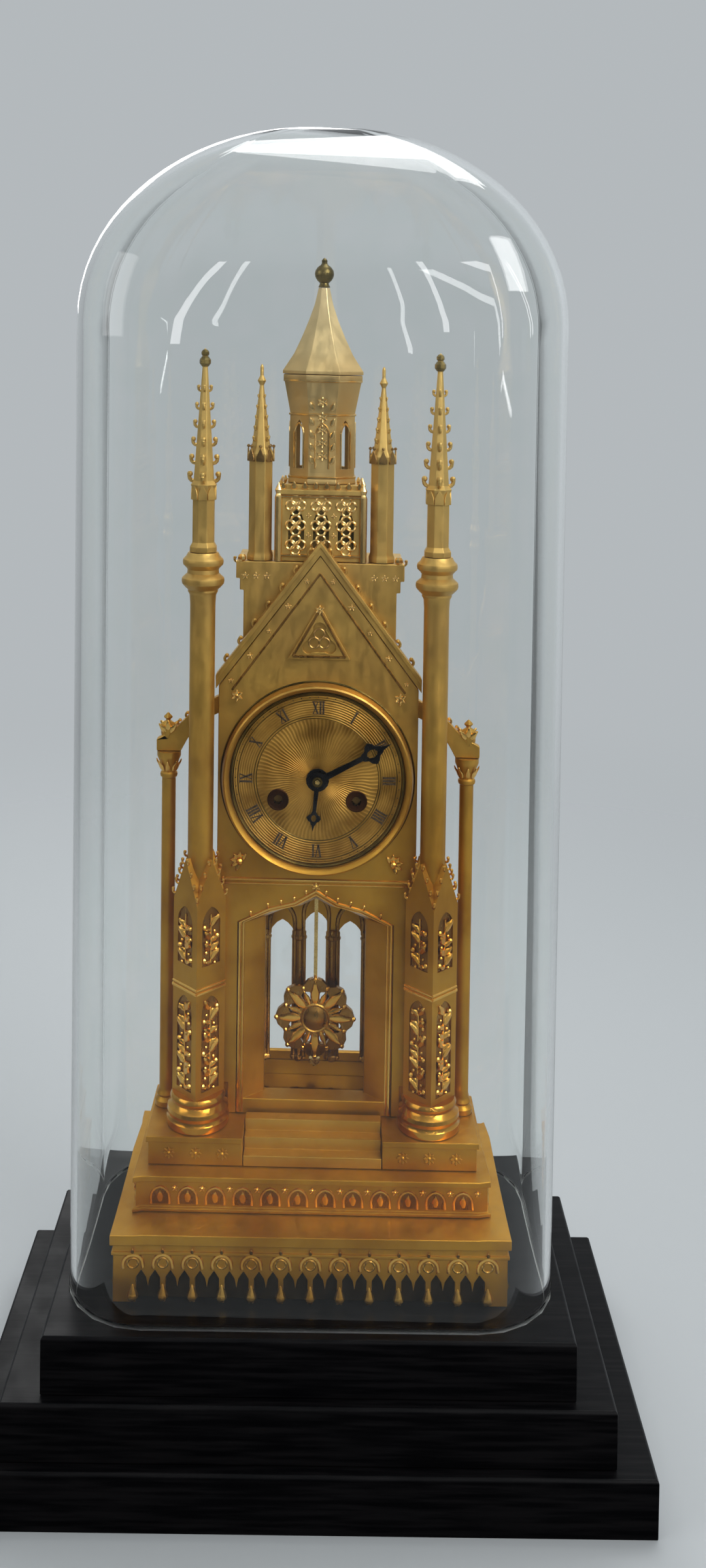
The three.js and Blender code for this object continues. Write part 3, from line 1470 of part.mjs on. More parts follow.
// Count wheel on the arbor that the strike barrel turns
function countWheel() {
  const points = [];
  const rises = 12;
  let turn = 0;
  const total = 78 + rises;
  for (let hour = 1; hour <= rises; hour += 1) {
    const a = (turn / total) * Math.PI * 2;
    const b = ((turn + 1) / total) * Math.PI * 2;
    points.push([COUNT_R * 0.86 * Math.cos(a), COUNT_R * 0.86 * Math.sin(a)]);
    points.push([COUNT_R * 0.86 * Math.cos(b), COUNT_R * 0.86 * Math.sin(b)]);
    const arcs = Math.ceil(hour / 3);
    for (let i = 0; i <= arcs; i += 1) {
      const c = ((turn + 1 + (hour * i) / arcs) / total) * Math.PI * 2;
      points.push([COUNT_R * Math.cos(c), COUNT_R * Math.sin(c)]);
    }
    turn += hour + 1;
  }
  const disc = panel(shapeOf(points), WHEEL_T).translate(0, plateEndY + 0.8, 0);
  const phase = meshPhase(BARREL_TEETH, 0, angleTo(strikeAt, countAt), SECOND_LEAVES);
  const leaves = gear(SECOND_LEAVES, secondLeafR, phase, greatY - 0.5, greatY + 2.2);
  return join(rodDeep(PIVOT_R, PLATE_FRONT_Y, plateEndY + 2.6), disc, leaves);
}

add("count_wheel", countWheel(), materials.brass, countAt[0], 0, dialZ + countAt[1]);

export default clock;
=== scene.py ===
"""Looks of a gilt church-front mantel clock under a glass dome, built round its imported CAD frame."""

import logging
import math
from dataclasses import dataclass
from enum import Enum
from typing import Iterator, Self, Sequence

import bmesh
import bpy
from mathutils import Matrix, Vector


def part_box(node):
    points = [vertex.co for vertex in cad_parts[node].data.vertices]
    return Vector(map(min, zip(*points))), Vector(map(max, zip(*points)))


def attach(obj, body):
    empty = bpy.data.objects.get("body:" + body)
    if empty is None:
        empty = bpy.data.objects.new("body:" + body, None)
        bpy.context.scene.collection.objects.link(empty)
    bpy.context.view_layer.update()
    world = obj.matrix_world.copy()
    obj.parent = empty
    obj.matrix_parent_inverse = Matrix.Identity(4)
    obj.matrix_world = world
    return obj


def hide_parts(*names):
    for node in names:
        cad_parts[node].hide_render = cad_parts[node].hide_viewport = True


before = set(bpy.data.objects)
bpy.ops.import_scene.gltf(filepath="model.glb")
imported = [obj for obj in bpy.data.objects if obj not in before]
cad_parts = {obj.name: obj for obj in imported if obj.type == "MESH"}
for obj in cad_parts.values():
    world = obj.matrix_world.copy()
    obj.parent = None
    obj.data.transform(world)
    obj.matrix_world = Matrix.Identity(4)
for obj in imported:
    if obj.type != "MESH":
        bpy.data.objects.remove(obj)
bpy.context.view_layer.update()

LOG = logging.getLogger("church_clock")
MM = 0.001
PLACE_DIGITS = 3
SMOOTH_ANGLE = 26.0
SHARP_ANGLE = math.radians(28.0)
FLAT_ANGLE = math.radians(0.5)
FULL_TURN = {"cent": (0, 0, 0), "axis": (0, 0, 1), "angle": math.tau, "use_merge": True}
NODE_MERGE = 0.004
AXIS_MERGE = 0.001
EASE_STEPS = 2
SMALL_ARCH = 4
UP = Vector((0, 0, 1))
FRONT = Vector((0, -1, 0))
BACK = Vector((0, 1, 0))
HANDS = (-1, 1)
FACET_LEAD = 22.5

Point = Sequence[float]
Colour = tuple[float, float, float]
Profile = Sequence[tuple[float, float]]
Socket = bpy.types.NodeSocket
Fed = float | Sequence[float] | Socket


class Slot(Enum):
    """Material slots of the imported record."""

    WOOD = "ebonised_wood"
    GLASS = "dome_glass"
    GILT = "gilt_bronze"
    DIAL = "matte_gilt"
    BRASS = "movement_brass"
    STEEL = "arbor_steel"
    BLUED = "blued_steel"


class Body(Enum):
    """CAD bodies that new pieces ride on."""

    CASE = "case"
    DOME = "dome"
    MINUTE = "minute_train"
    HOUR = "hour_train"
    PENDULUM = "pendulum"


class Side(Enum):
    """The two sides of the front, by the sign of X."""

    LEFT = -1
    RIGHT = 1

    @property
    def word(self) -> str:
        """Name used in node and piece names."""
        return self.name.lower()

    @property
    def outward(self) -> Vector:
        """Direction away from the middle of the front."""
        return Vector((self.value, 0, 0))


@dataclass(frozen=True)
class NodeBox:
    """Box of a CAD node at rest, in millimetres."""

    low: Vector
    high: Vector

    @classmethod
    def of(cls, node: str) -> Self:
        """Box of one node."""
        low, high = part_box(node)
        return cls(low / MM, high / MM)

    @property
    def middle(self) -> Vector:
        """Centre of the box."""
        return (self.low + self.high) / 2

    @property
    def size(self) -> Vector:
        """Lengths of the sides of the box."""
        return self.high - self.low

    @property
    def half(self) -> Vector:
        """Halves of the lengths of the sides."""
        return self.size / 2

    @property
    def foot(self) -> Vector:
        """Middle of the underside."""
        return Vector((self.middle.x, self.middle.y, self.low.z))

    def walls(self, inset: float) -> Iterator[tuple[Vector, Vector, Vector, float]]:
        """Four upright walls inside the box, from the front one round.

        Args:
            inset: Distance of the walls inside the box.

        Returns:
            For each wall its foot, its outward and its sideways direction, and half of its run.
        """
        for quarter in range(4):
            outward = rotation("Z", 90 * quarter).to_3x3() @ FRONT
            along = Vector((-outward.y, outward.x, 0))
            reach, run = (self.half.x, self.half.y) if quarter % 2 else (self.half.y, self.half.x)
            yield self.foot + outward * (reach - inset), outward, along, run - inset


def shift(way: Point) -> Matrix:
    """Move by a vector."""
    return Matrix.Translation(way)


def rotation(axis: str, degrees: float) -> Matrix:
    """Turn about a main axis."""
    return Matrix.Rotation(math.radians(degrees), 4, axis)


def clock(degrees: float) -> Vector:
    """Direction on the front, clockwise from the top."""
    return Vector((math.sin(math.radians(degrees)), 0, math.cos(math.radians(degrees))))


def scaled(profile: Profile, radius: float, height: float = 1.0) -> Profile:
    """Profile with its radii and heights times two factors."""
    return [(radius * r, height * z) for r, z in profile]


def facing(at: Point, outward: Point = FRONT, up: Point = UP, size: float = 1.0) -> Matrix:
    """Place a motif that was modelled facing -Y with its top to +Z.

    Args:
        at: Point for the motif's origin.
        outward: Direction that the motif's front takes.
        up: Direction that the motif's top takes.
        size: Factor on the motif's size.

    Returns:
        The matrix to stamp the motif with.
    """
    back = -Vector(outward).normalized()
    top = Vector(up).normalized()
    turn = Matrix((back.cross(top), back, top)).transposed().to_4x4()
    return shift(at) @ turn @ Matrix.Scale(size, 4)


def spoke(centre: Point, angle: float, reach: float) -> tuple[Vector, Vector]:
    """Point at a reach from an upright axis, and the direction away from it.

    Args:
        centre: Point on the axis at the wanted level.
        angle: Direction in degrees from +X.
        reach: Distance from the axis.

    Returns:
        The point and the outward direction.
    """
    outward = Vector((math.cos(math.radians(angle)), math.sin(math.radians(angle)), 0))
    return Vector(centre) + outward * reach, outward


class Casting:
    """A piece in the making: a bmesh in millimetres that is delivered as an object in metres."""

    def __init__(self) -> None:
        """Start with nothing."""
        self.bm = bmesh.new()

    @classmethod
    def of_node(cls, node: str) -> Self:
        """Copy a CAD node, merged and with its flat faces whole again.

        Args:
            node: Name of the node.

        Returns:
            The copy, where the node is at rest.
        """
        casting = cls()
        casting.bm.from_mesh(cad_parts[node].data)
        bmesh.ops.scale(casting.bm, vec=(1 / MM,) * 3, verts=casting.bm.verts)
        bmesh.ops.remove_doubles(casting.bm, verts=casting.bm.verts, dist=NODE_MERGE)
        return casting.flatten()

    @classmethod
    def turned(cls, profile: Profile, steps: int = 40, lead: float = 0.0) -> Self:
        """Spin a profile about the upright axis.

        Args:
            profile: Points of radius and height, from the bottom up.
            steps: Sides of the turned form.
            lead: Turn of the first side, in degrees.

        Returns:
            The turned casting, on the origin.
        """
        casting = cls()
        points = [casting.bm.verts.new((radius, 0, height)) for radius, height in profile]
        for pair in zip(points, points[1:]):
            casting.bm.edges.new(pair)
        casting.revolve(steps)
        bmesh.ops.remove_doubles(casting.bm, verts=casting.bm.verts, dist=AXIS_MERGE)
        return casting.place(rotation("Z", lead))

    @classmethod
    def prism(cls, outline: Profile, depth: float) -> Self:
        """Upright plate drawn in X and Z.

        Args:
            outline: Corners of the plate.
            depth: Thickness, from y = 0 to the back.

        Returns:
            The closed plate.
        """
        casting = cls()
        face = casting.bm.faces.new([casting.bm.verts.new((x, 0, z)) for x, z in outline])
        made = bmesh.ops.extrude_face_region(casting.bm, geom=[face])
        back = [item for item in made["geom"] if isinstance(item, bmesh.types.BMVert)]
        bmesh.ops.translate(casting.bm, vec=BACK * depth, verts=back)
        return casting.face_out()

    @classmethod
    def slab(cls, half: float, low: float, high: float, depth: float) -> Self:
        """Upright oblong plate of a half width, between two levels."""
        return cls.prism([(-half, low), (half, low), (half, high), (-half, high)], depth)

    @classmethod
    def gable(cls, half: float, low: float, eave: float, apex: float, depth: float) -> Self:
        """Upright plate with a pointed top, of a half width."""
        return cls.prism([(-half, low), (half, low), (half, eave), (0, apex), (-half, eave)], depth)

    @classmethod
    def bar(cls, path: Sequence[Point], radius: float, sides: int = 6) -> Self:
        """Round bar that follows a path and is closed at both ends.

        Args:
            path: Points of the bar's middle line.
            radius: Half of its thickness.
            sides: Flats round the bar.

        Returns:
            The bar.
        """
        casting = cls()
        points = [Vector(point) for point in path]
        last = len(points) - 1
        rings = []
        for index, point in enumerate(points):
            ahead = points[min(index + 1, last)] - points[max(index - 1, 0)]
            across = shift(point) @ ahead.to_track_quat("Z", "Y").to_matrix().to_4x4()
            ring = set(casting.circle(radius, sides, across, index in (0, last)))
            rings.append([edge for edge in casting.bm.edges if ring.issuperset(edge.verts)])
        for near, far in zip(rings, rings[1:]):
            bmesh.ops.bridge_loops(casting.bm, edges=near + far)
        return casting.face_out()

    @classmethod
    def hoop(cls, radius: float, thick: float, steps: int = 20, sides: int = 6) -> Self:
        """Ring that stands upright and faces -Y.

        Args:
            radius: Radius of its middle line.
            thick: Half of its thickness.
            steps: Sides of the ring.
            sides: Flats round its section.

        Returns:
            The ring, round the origin.
        """
        casting = cls()
        upright = rotation("X", 90)
        casting.circle(thick, sides, shift((radius, 0, 0)) @ upright)
        casting.revolve(steps)
        return casting.face_out().place(upright)

    def circle(
        self, radius: float, sides: int, where: Matrix, filled: bool = False
    ) -> list[bmesh.types.BMVert]:
        """Add a circle that would lie flat on the ground, and give its corners."""
        made = bmesh.ops.create_circle(self.bm, cap_ends=filled, segments=sides, radius=radius, matrix=where)
        return made["verts"]

    def revolve(self, steps: int) -> None:
        """Spin the lines drawn so far a full turn about the upright axis."""
        bmesh.ops.spin(self.bm, geom=self.bm.verts[:] + self.bm.edges[:], steps=steps, **FULL_TURN)

    def face_out(self) -> Self:
        """Turn all faces outwards."""
        bmesh.ops.recalc_face_normals(self.bm, faces=self.bm.faces)
        return self

    def settle(self) -> Self:
        """Put points, edges and faces in the order of their places.

        Mesh operators leave some in an order that hangs on memory addresses, and the shading of the dome's
        wall follows it. Sorted, they come out the same in each run.
        """
        orders = (
            (self.bm.verts, lambda vert: vert.co.to_tuple(PLACE_DIGITS)),
            (self.bm.edges, lambda edge: sorted(vert.index for vert in edge.verts)),
            (self.bm.faces, lambda face: sorted(vert.index for vert in face.verts)),
        )
        for elements, place in orders:
            for rank, element in enumerate(sorted(elements, key=place)):
                element.index = rank
            elements.sort()
        return self

    def flatten(self) -> Self:
        """Make flat faces whole again."""
        bmesh.ops.dissolve_limit(self.bm, angle_limit=FLAT_ANGLE, verts=self.bm.verts, edges=self.bm.edges)
        return self

    def place(self, matrix: Matrix) -> Self:
        """Move, turn or scale the whole casting."""
        bmesh.ops.transform(self.bm, matrix=matrix, verts=self.bm.verts)
        return self

    def round_off(self, geom: list, width: float, segments: int, affect: str) -> None:
        """Bevel edges or corners to a round of a width."""
        shape = {"offset_type": "OFFSET", "profile": 0.5, "material": -1}
        bmesh.ops.bevel(self.bm, geom=geom, offset=width, segments=segments, affect=affect, **shape)

    def ease(self, width: float) -> Self:
        """Round the edges that are sharp.

        Args:
            width: Width of the round.

        Returns:
            This casting.
        """
        sharp = [edge for edge in self.bm.edges if edge.calc_face_angle(0.0) > SHARP_ANGLE]
        self.round_off(sharp, width, EASE_STEPS, "EDGES")
        return self

    def stamp(self, motif: Self, *places: Matrix) -> Self:
        """Add copies of a motif.

        Args:
            motif: Casting to copy.
            *places: Matrix of each copy.

        Returns:
            This casting.
        """
        pattern = bpy.data.meshes.new("pattern")
        motif.bm.to_mesh(pattern)
        for matrix in places:
            copy = pattern.copy()
            copy.transform(matrix)
            self.bm.from_mesh(copy)
            bpy.data.meshes.remove(copy)
        bpy.data.meshes.remove(pattern)
        return self

    def attach(self, motif: Self, at: Point, *turn: Point | float, **named: Point | float) -> Self:
        """Add one copy of a motif at a point, turned and sized as facing() does."""
        return self.stamp(motif, facing(at, *turn, **named))

    def ring(
        self,
        motif: Self,
        centre: Point,
        reach: float,
        count: int,
        lead: float = 0.0,
        lean: float = 0.0,
        size: float = 1.0,
    ) -> Self:
        """Set copies of a motif round an upright axis, each facing away from it.

        Args:
            motif: Casting to copy.
            centre: Point on the axis at the wanted level.
            reach: Distance of the copies from the axis.
            count: Number of copies.
            lead: Direction of the first copy, in degrees from +X.
            lean: Slope of the copies' tops away from the axis.
            size: Factor on the motif's size.

        Returns:
            This casting.
        """
        for index in range(count):
            at, outward = spoke(centre, lead + 360 / count * index, reach)
            self.attach(motif, at, outward, UP + outward * lean, size)
        return self

    def join(self, *others: Self) -> Self:
        """Add other castings as they stand."""
        for other in others:
            self.stamp(other, Matrix.Identity(4))
        return self

    def combine(self, other: Self, operation: str = "DIFFERENCE") -> Self:
        """Cut another casting out of this one, or weld it on.

        Args:
            other: Casting to cut or weld with.
            operation: DIFFERENCE to cut, UNION to weld.

        Returns:
            This casting, changed.
        """
        body = self.loose("combined_body")
        tool = other.loose("combining_tool")
        cut = body.modifiers.new("combine", "BOOLEAN")
        cut.operation = operation
        cut.solver = "EXACT"
        cut.object = tool
        bpy.context.view_layer.update()
        result = bpy.data.meshes.new_from_object(body.evaluated_get(bpy.context.evaluated_depsgraph_get()))
        self.bm.clear()
        self.bm.from_mesh(result)
        for spare in (body.data, tool.data, result):
            bpy.data.meshes.remove(spare)
        return self

    def loose(self, name: str) -> bpy.types.Object:
        """Put the casting into the scene as it is now.

        Args:
            name: Name of the object and its mesh.

        Returns:
            The object.
        """
        mesh = bpy.data.meshes.new(name)
        self.bm.to_mesh(mesh)
        thing = bpy.data.objects.new(name, mesh)
        bpy.context.scene.collection.objects.link(thing)
        return thing

    def deliver(
        self,
        name: str,
        finish: "Finish",
        *replaced: str,
        body: Body = Body.CASE,
        smooth: float = SMOOTH_ANGLE,
    ) -> bpy.types.Object:
        """Turn the casting into a finished piece that rides on a body.

        Args:
            name: Name of the piece.
            finish: Finish that it wears.
            *replaced: CAD nodes that it stands for.
            body: CAD body that it moves with.
            smooth: Angle in degrees above which an edge stays crisp.

        Returns:
            The piece, at the origin and in metres.
        """
        self.face_out().settle()
        bmesh.ops.scale(self.bm, vec=(MM,) * 3, verts=self.bm.verts)
        for face in self.bm.faces:
            face.smooth = True
        piece = self.loose(name)
        self.bm.free()
        piece.data.set_sharp_from_angle(angle=math.radians(smooth))
        piece.data.materials.append(finish.material())
        flats = piece.modifiers.new("flat_faces", "WEIGHTED_NORMAL")
        flats.keep_sharp = True
        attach(piece, body.value)
        if replaced:
            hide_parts(*replaced)
        LOG.info("%s: %d faces on %s", name, len(piece.data.polygons), body.value)
        return piece


# Motifs, modelled on the origin, facing -Y with the top to +Z


def bead(radius: float) -> Casting:
    """Small round knob.

    Args:
        radius: Radius of the knob.

    Returns:
        The knob, round the origin.
    """
    casting = Casting()
    bmesh.ops.create_uvsphere(casting.bm, u_segments=8, v_segments=5, radius=radius)
    return casting


def leaf(length: float, width: float, thick: float) -> Casting:
    """Pointed leaf that grows up from the origin and is arched to the front.

    Args:
        length: Length from stalk to tip.
        width: Greatest width.
        thick: Greatest thickness.

    Returns:
        The leaf.
    """
    casting = Casting()
    verts = casting.bm.verts
    bmesh.ops.create_uvsphere(casting.bm, u_segments=8, v_segments=6, radius=0.5)
    tip = [vert for vert in verts if vert.co.z > 0.2]
    bmesh.ops.scale(casting.bm, vec=(0.6, 0.8, 1), verts=tip)
    bmesh.ops.scale(casting.bm, vec=(width, thick, length), verts=verts)
    bmesh.ops.translate(casting.bm, vec=UP * length / 2, verts=verts)
    upper = [vert for vert in verts if vert.co.z > length * 0.6]
    bmesh.ops.translate(casting.bm, vec=FRONT * thick * 0.35, verts=upper)
    return casting


def crocket(size: float) -> Casting:
    """Hooked leaf of a Gothic edge: a stem that curls out and up to a knob.

    Args:
        size: Radius of the curl.

    Returns:
        The crocket.
    """
    casting = Casting()
    casting.circle(size * 0.42, 6, rotation("X", 90), filled=True)
    curl = {"cent": UP * size, "axis": (1, 0, 0), "angle": -math.radians(125)}
    bmesh.ops.spin(casting.bm, geom=casting.bm.faces[:], steps=4, **curl)
    return casting.stamp(bead(size * 0.62), shift((0, -size * 0.85, size * 1.5)))


def rosette(radius: float, petals: int = 6) -> Casting:
    """Flat flower of pointed petals round a boss."""
    petal = leaf(radius, radius * 0.62, radius * 0.36)
    return bead(radius * 0.34).stamp(petal, *(rotation("Y", 360 * index / petals) for index in range(petals)))


def quatrefoil(radius: float, thick: float) -> Casting:
    """Four pierced lobes that touch one another."""
    lobe = Casting.hoop(radius * 0.45, thick, steps=10, sides=5)
    return Casting().stamp(lobe, *(shift(clock(90 * index) * radius * 0.5) for index in range(4)))


def teardrop(length: float, radius: float) -> Casting:
    """Drop that hangs from the origin, widest near its foot."""
    shape = [(0.0, -1.0), (0.55, -0.93), (0.95, -0.78), (1.0, -0.66), (0.7, -0.42), (0.34, -0.16), (0.0, 0.0)]
    return Casting.turned(scaled(shape, radius, length), steps=8)


def pointed_arch(half: float, spring: float, rise: float, steps: int = 5) -> Profile:
    """Outline of a two-centred pointed arch.

    Args:
        half: Half of the span.
        spring: Height of the straight legs.
        rise: Height of the arch above its springing.
        steps: Straight runs in each half of the arch.

    Returns:
        Points from the left foot over the apex to the right foot.
    """
    radius = (half * half + rise * rise) / (2 * half)
    sweep = math.asin(min(1.0, rise / radius))
    right = []
    for index in range(steps + 1):
        angle = sweep * index / steps
        right.append((half - radius + radius * math.cos(angle), spring + radius * math.sin(angle)))
    left = [(-x, z) for x, z in right[:-1]]
    return [(-half, 0.0), *left, *reversed(right), (half, 0.0)]


def arch_bar(outline: Profile, radius: float) -> Casting:
    """Round bar along an arch."""
    return Casting.bar([(x, 0.0, z) for x, z in outline], radius)


class NodeBench:
    """Node tree of a material or the world, with short calls for the nodes that the looks share."""

    def __init__(self, owner: bpy.types.Material | bpy.types.World, shader: str = "Principled BSDF") -> None:
        """Start from the owner's first shader.

        Args:
            owner: Material or world that the tree belongs to.
            shader: Name of its first shader.
        """
        owner.use_nodes = True
        self.tree = owner.node_tree
        self.shader = self.tree.nodes[shader]

    def feed(self, socket: Socket, value: Fed) -> None:
        """Link a socket to another one, or set its number.

        Args:
            socket: Input to feed.
            value: Output to link, or the number or colour to set.
        """
        if isinstance(value, Socket):
            self.tree.links.new(value, socket)
        else:
            socket.default_value = value

    def add(self, kind: str, feeds: dict[int | str, Fed], **settings: object) -> bpy.types.Node:
        """Make a node.

        Args:
            kind: Blender's name of the node type.
            feeds: Value or link of each input, by name or place.
            **settings: Properties of the node.

        Returns:
            The node.
        """
        node = self.tree.nodes.new(kind)
        for key, value in settings.items():
            setattr(node, key, value)
        for key, value in feeds.items():
            self.feed(node.inputs[key], value)
        return node

    def shade(self, **values: Fed) -> None:
        """Feed the shader's sockets; an underscore in a name stands for a blank."""
        for key, value in values.items():
            self.feed(self.shader.inputs[key.replace("_", " ")], value)

    def coords(self, centre: Point = (0, 0, 0), stretch: Point = (1, 1, 1)) -> Socket:
        """Object coordinates, measured from a centre and stretched.

        Args:
            centre: Point in metres that becomes the origin.
            stretch: Factor along each axis.

        Returns:
            The coordinates.
        """
        place = self.add("ShaderNodeTexCoord", {})
        moved = self.add("ShaderNodeMapping", {0: place.outputs["Object"], "Location": [-c for c in centre]})
        return self.add("ShaderNodeMapping", {0: moved.outputs[0], "Scale": stretch}).outputs[0]

    def noise(self, where: Socket, scale: float, detail: float = 3.0) -> Socket:
        """Cloudy pattern from 0 to 1."""
        return self.add("ShaderNodeTexNoise", {"Vector": where, "Scale": scale, "Detail": detail}).outputs[0]

    def sum(self, operation: str, first: Fed, second: Fed = 0.0) -> Socket:
        """Result of a Math node."""
        return self.add("ShaderNodeMath", {0: first, 1: second}, operation=operation).outputs[0]

    def wave(self, value: Fed) -> Socket:
        """Sine of a value, from 0 to 1."""
        return self.spread(self.sum("SINE", value), 0.0, 1.0, -1.0, 1.0)

    def reach(self, where: Socket) -> Socket:
        """Distance from the origin of the coordinates."""
        return self.add("ShaderNodeVectorMath", {0: where}, operation="LENGTH").outputs["Value"]

    def spread(self, value: Fed, low: float, high: float, start: float = 0.3, end: float = 0.7) -> Socket:
        """Stretch a range of values onto another one, with soft ends.

        Args:
            value: Value to stretch.
            low: Result at the start of the range.
            high: Result at its end.
            start: Start of the range.
            end: End of the range.

        Returns:
            The stretched value.
        """
        feeds = {0: value, 1: start, 2: end, 3: low, 4: high}
        return self.add("ShaderNodeMapRange", feeds, interpolation_type="SMOOTHSTEP").outputs[0]

    def blend(self, share: Fed, first: Fed, second: Fed) -> Socket:
        """Colour between two others.

        Args:
            share: Share of the second colour.
            first: Colour at a share of 0.
            second: Colour at a share of 1.

        Returns:
            The colour.
        """
        feeds = {0: share}
        for place, colour in ((6, first), (7, second)):
            feeds[place] = colour if isinstance(colour, Socket) else (*colour, 1.0)
        return self.add("ShaderNodeMix", feeds, data_type="RGBA").outputs[2]

    def mottle(
        self,
        pattern: Socket,
        first: Fed,
        second: Fed,
        start: float,
        end: float,
        least: float = 0.0,
        most: float = 1.0,
    ) -> Socket:
        """Colour that goes from one to another with a pattern.

        Args:
            pattern: Pattern that leads.
            first: Colour where the pattern is low.
            second: Colour where it is high.
            start: Value of the pattern where the change begins.
            end: Value where it ends.
            least: Least share of the second colour.
            most: Greatest share of it.

        Returns:
            The colour.
        """
        return self.blend(self.spread(pattern, least, most, start, end), first, second)

    def relief(self, height: Socket, depth: float, strength: float) -> None:
        """Raise the surface by a pattern of a depth in metres."""
        bump = self.add("ShaderNodeBump", {"Height": height, "Distance": depth, "Strength": strength})
        self.feed(self.shader.inputs["Normal"], bump.outputs[0])

    def clear(self, share: Fed, tint: Colour = (1, 1, 1)) -> None:
        """Let light pass straight through the material.

        Args:
            share: Share of the light that passes.
            tint: Colour that it takes.
        """
        gap = self.add("ShaderNodeBsdfTransparent", {0: (*tint, 1.0)})
        feeds = {0: share, 1: self.shader.outputs[0], 2: gap.outputs[0]}
        mixed = self.add("ShaderNodeMixShader", feeds)
        self.feed(self.tree.nodes["Material Output"].inputs["Surface"], mixed.outputs[0])


class Finish:
    """A procedural material and the record's slot that it belongs to."""

    name: str
    slot: Slot

    def material(self) -> bpy.types.Material:
        """The finish's material, made once.

        Returns:
            The material.
        """
        if self.name not in bpy.data.materials:
            self.mix(NodeBench(bpy.data.materials.new(self.name)))
        return bpy.data.materials[self.name]

    def mix(self, bench: NodeBench) -> None:
        """Build the material on its bench."""
        raise NotImplementedError

    def dress(self, *nodes: str) -> None:
        """Give CAD nodes this finish.

        Args:
            *nodes: Names of the nodes.
        """
        for node in nodes:
            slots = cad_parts[node].data.materials
            slots.clear()
            slots.append(self.material())
            LOG.info("%s: CAD node in %s", node, self.name)


@dataclass(frozen=True)
class Gilding(Finish):
    """Fire-gilt bronze in mottled tones, with painted light that pales it towards the spire and leaves it
    deeper near the plinth.
    """

    name: str = "fire_gilding"
    slot: Slot = Slot.GILT
    deep: Colour = (0.37, 0.165, 0.010)
    warm: Colour = (0.50, 0.255, 0.026)
    pale: Colour = (0.62, 0.43, 0.15)
    rough: tuple[float, float] = (0.34, 0.50)
    pale_from: float = 0.24
    pale_to: float = 0.56
    stipple: float = 0.00016
    metallic: float = 0.88

    def mix(self, bench: NodeBench) -> None:
        """Mottle the gold, paint light on it that grows with height, and roughen it by scuffs.

        Args:
            bench: Bench of the new material.
        """
        where = bench.coords()
        grain = bench.noise(where, 520.0, 2.0)
        scuffs = bench.noise(bench.coords(stretch=(1, 1, 0.35)), 260.0, 5.0)
        height = bench.add("ShaderNodeSeparateXYZ", {0: where}).outputs[2]
        tone = bench.mottle(bench.noise(where, 30.0, 4.0), self.deep, self.warm, 0.34, 0.62)
        # Painted light: the gold goes over to the pale tone with height, as if lit from above.
        tone = bench.mottle(height, tone, self.pale, self.pale_from, self.pale_to, most=0.85)
        tone = bench.mottle(grain, tone, self.deep, 0.5, 0.8, most=0.1)
        bench.shade(Base_Color=tone, Metallic=self.metallic, Roughness=bench.spread(scuffs, *self.rough))
        bench.relief(grain, self.stipple, 0.12)


@dataclass(frozen=True)
class EngineTurning(Finish):
    """Matte gilt dial with radiating lines inside the hour ring and fine rings outside it."""

    centre: Point
    name: str = "engine_turned_gilt"
    slot: Slot = Slot.DIAL
    deep: Colour = (0.30, 0.14, 0.022)
    warm: Colour = (0.60, 0.33, 0.070)
    rays: float = 96.0
    rings: float = 5200.0
    sways: float = 620.0
    sway: float = 0.7
    ray_end: float = 0.0315
    ray_fade: float = 0.0004
    depth: float = 0.00022

    def mix(self, bench: NodeBench) -> None:
        """Cut swaying rays and rings into the mottled gold.

        Args:
            bench: Bench of the new material.
        """
        where = bench.coords(self.centre, (1, 0, 1))
        split = bench.add("ShaderNodeSeparateXYZ", {0: where})
        reach = bench.reach(where)
        angle = bench.sum("ARCTAN2", split.outputs[0], split.outputs[2])
        sway = bench.sum("SINE", bench.sum("MULTIPLY", reach, self.sways))
        turns = bench.sum("MULTIPLY", angle, self.rays)
        ray = bench.wave(bench.sum("ADD", turns, bench.sum("MULTIPLY", sway, self.sway)))
        ring = bench.wave(bench.sum("MULTIPLY", reach, self.rings))
        inner = bench.spread(reach, 1.0, 0.0, self.ray_end, self.ray_end + self.ray_fade)
        lines = bench.add("ShaderNodeMix", {0: inner, 2: ring, 3: ray}, data_type="FLOAT").outputs[0]
        clouds = bench.noise(bench.coords(self.centre), 60.0, 4.0)
        tone = bench.mottle(clouds, self.deep, self.warm, 0.32, 0.66, least=0.15)
        tone = bench.blend(bench.sum("MULTIPLY", lines, 0.35), tone, self.deep)
        bench.shade(Base_Color=tone, Metallic=1.0, Roughness=bench.spread(clouds, 0.30, 0.46))
        bench.relief(lines, self.depth, 0.7)


@dataclass(frozen=True)
class TurnedMetal(Finish):
    """Worked metal with fine tool lines: movement brass, steel or dark bronze."""

    name: str
    slot: Slot
    dark: Colour
    light: Colour
    rough: tuple[float, float] = (0.2, 0.38)
    grain: Point = (1, 0.15, 1)

    def mix(self, bench: NodeBench) -> None:
        """Draw long tool lines over clouds of two tones.

        Args:
            bench: Bench of the new material.
        """
        lines = bench.noise(bench.coords(stretch=self.grain), 1400.0, 4.0)
        clouds = bench.noise(bench.coords(), 70.0, 3.0)
        tone = bench.mottle(clouds, self.dark, self.light, 0.3, 0.66)
        tone = bench.mottle(lines, tone, self.dark, 0.5, 0.8, most=0.25)
        bench.shade(Base_Color=tone, Metallic=1.0, Roughness=bench.spread(lines, *self.rough))
        bench.relief(lines, 0.00006, 0.5)


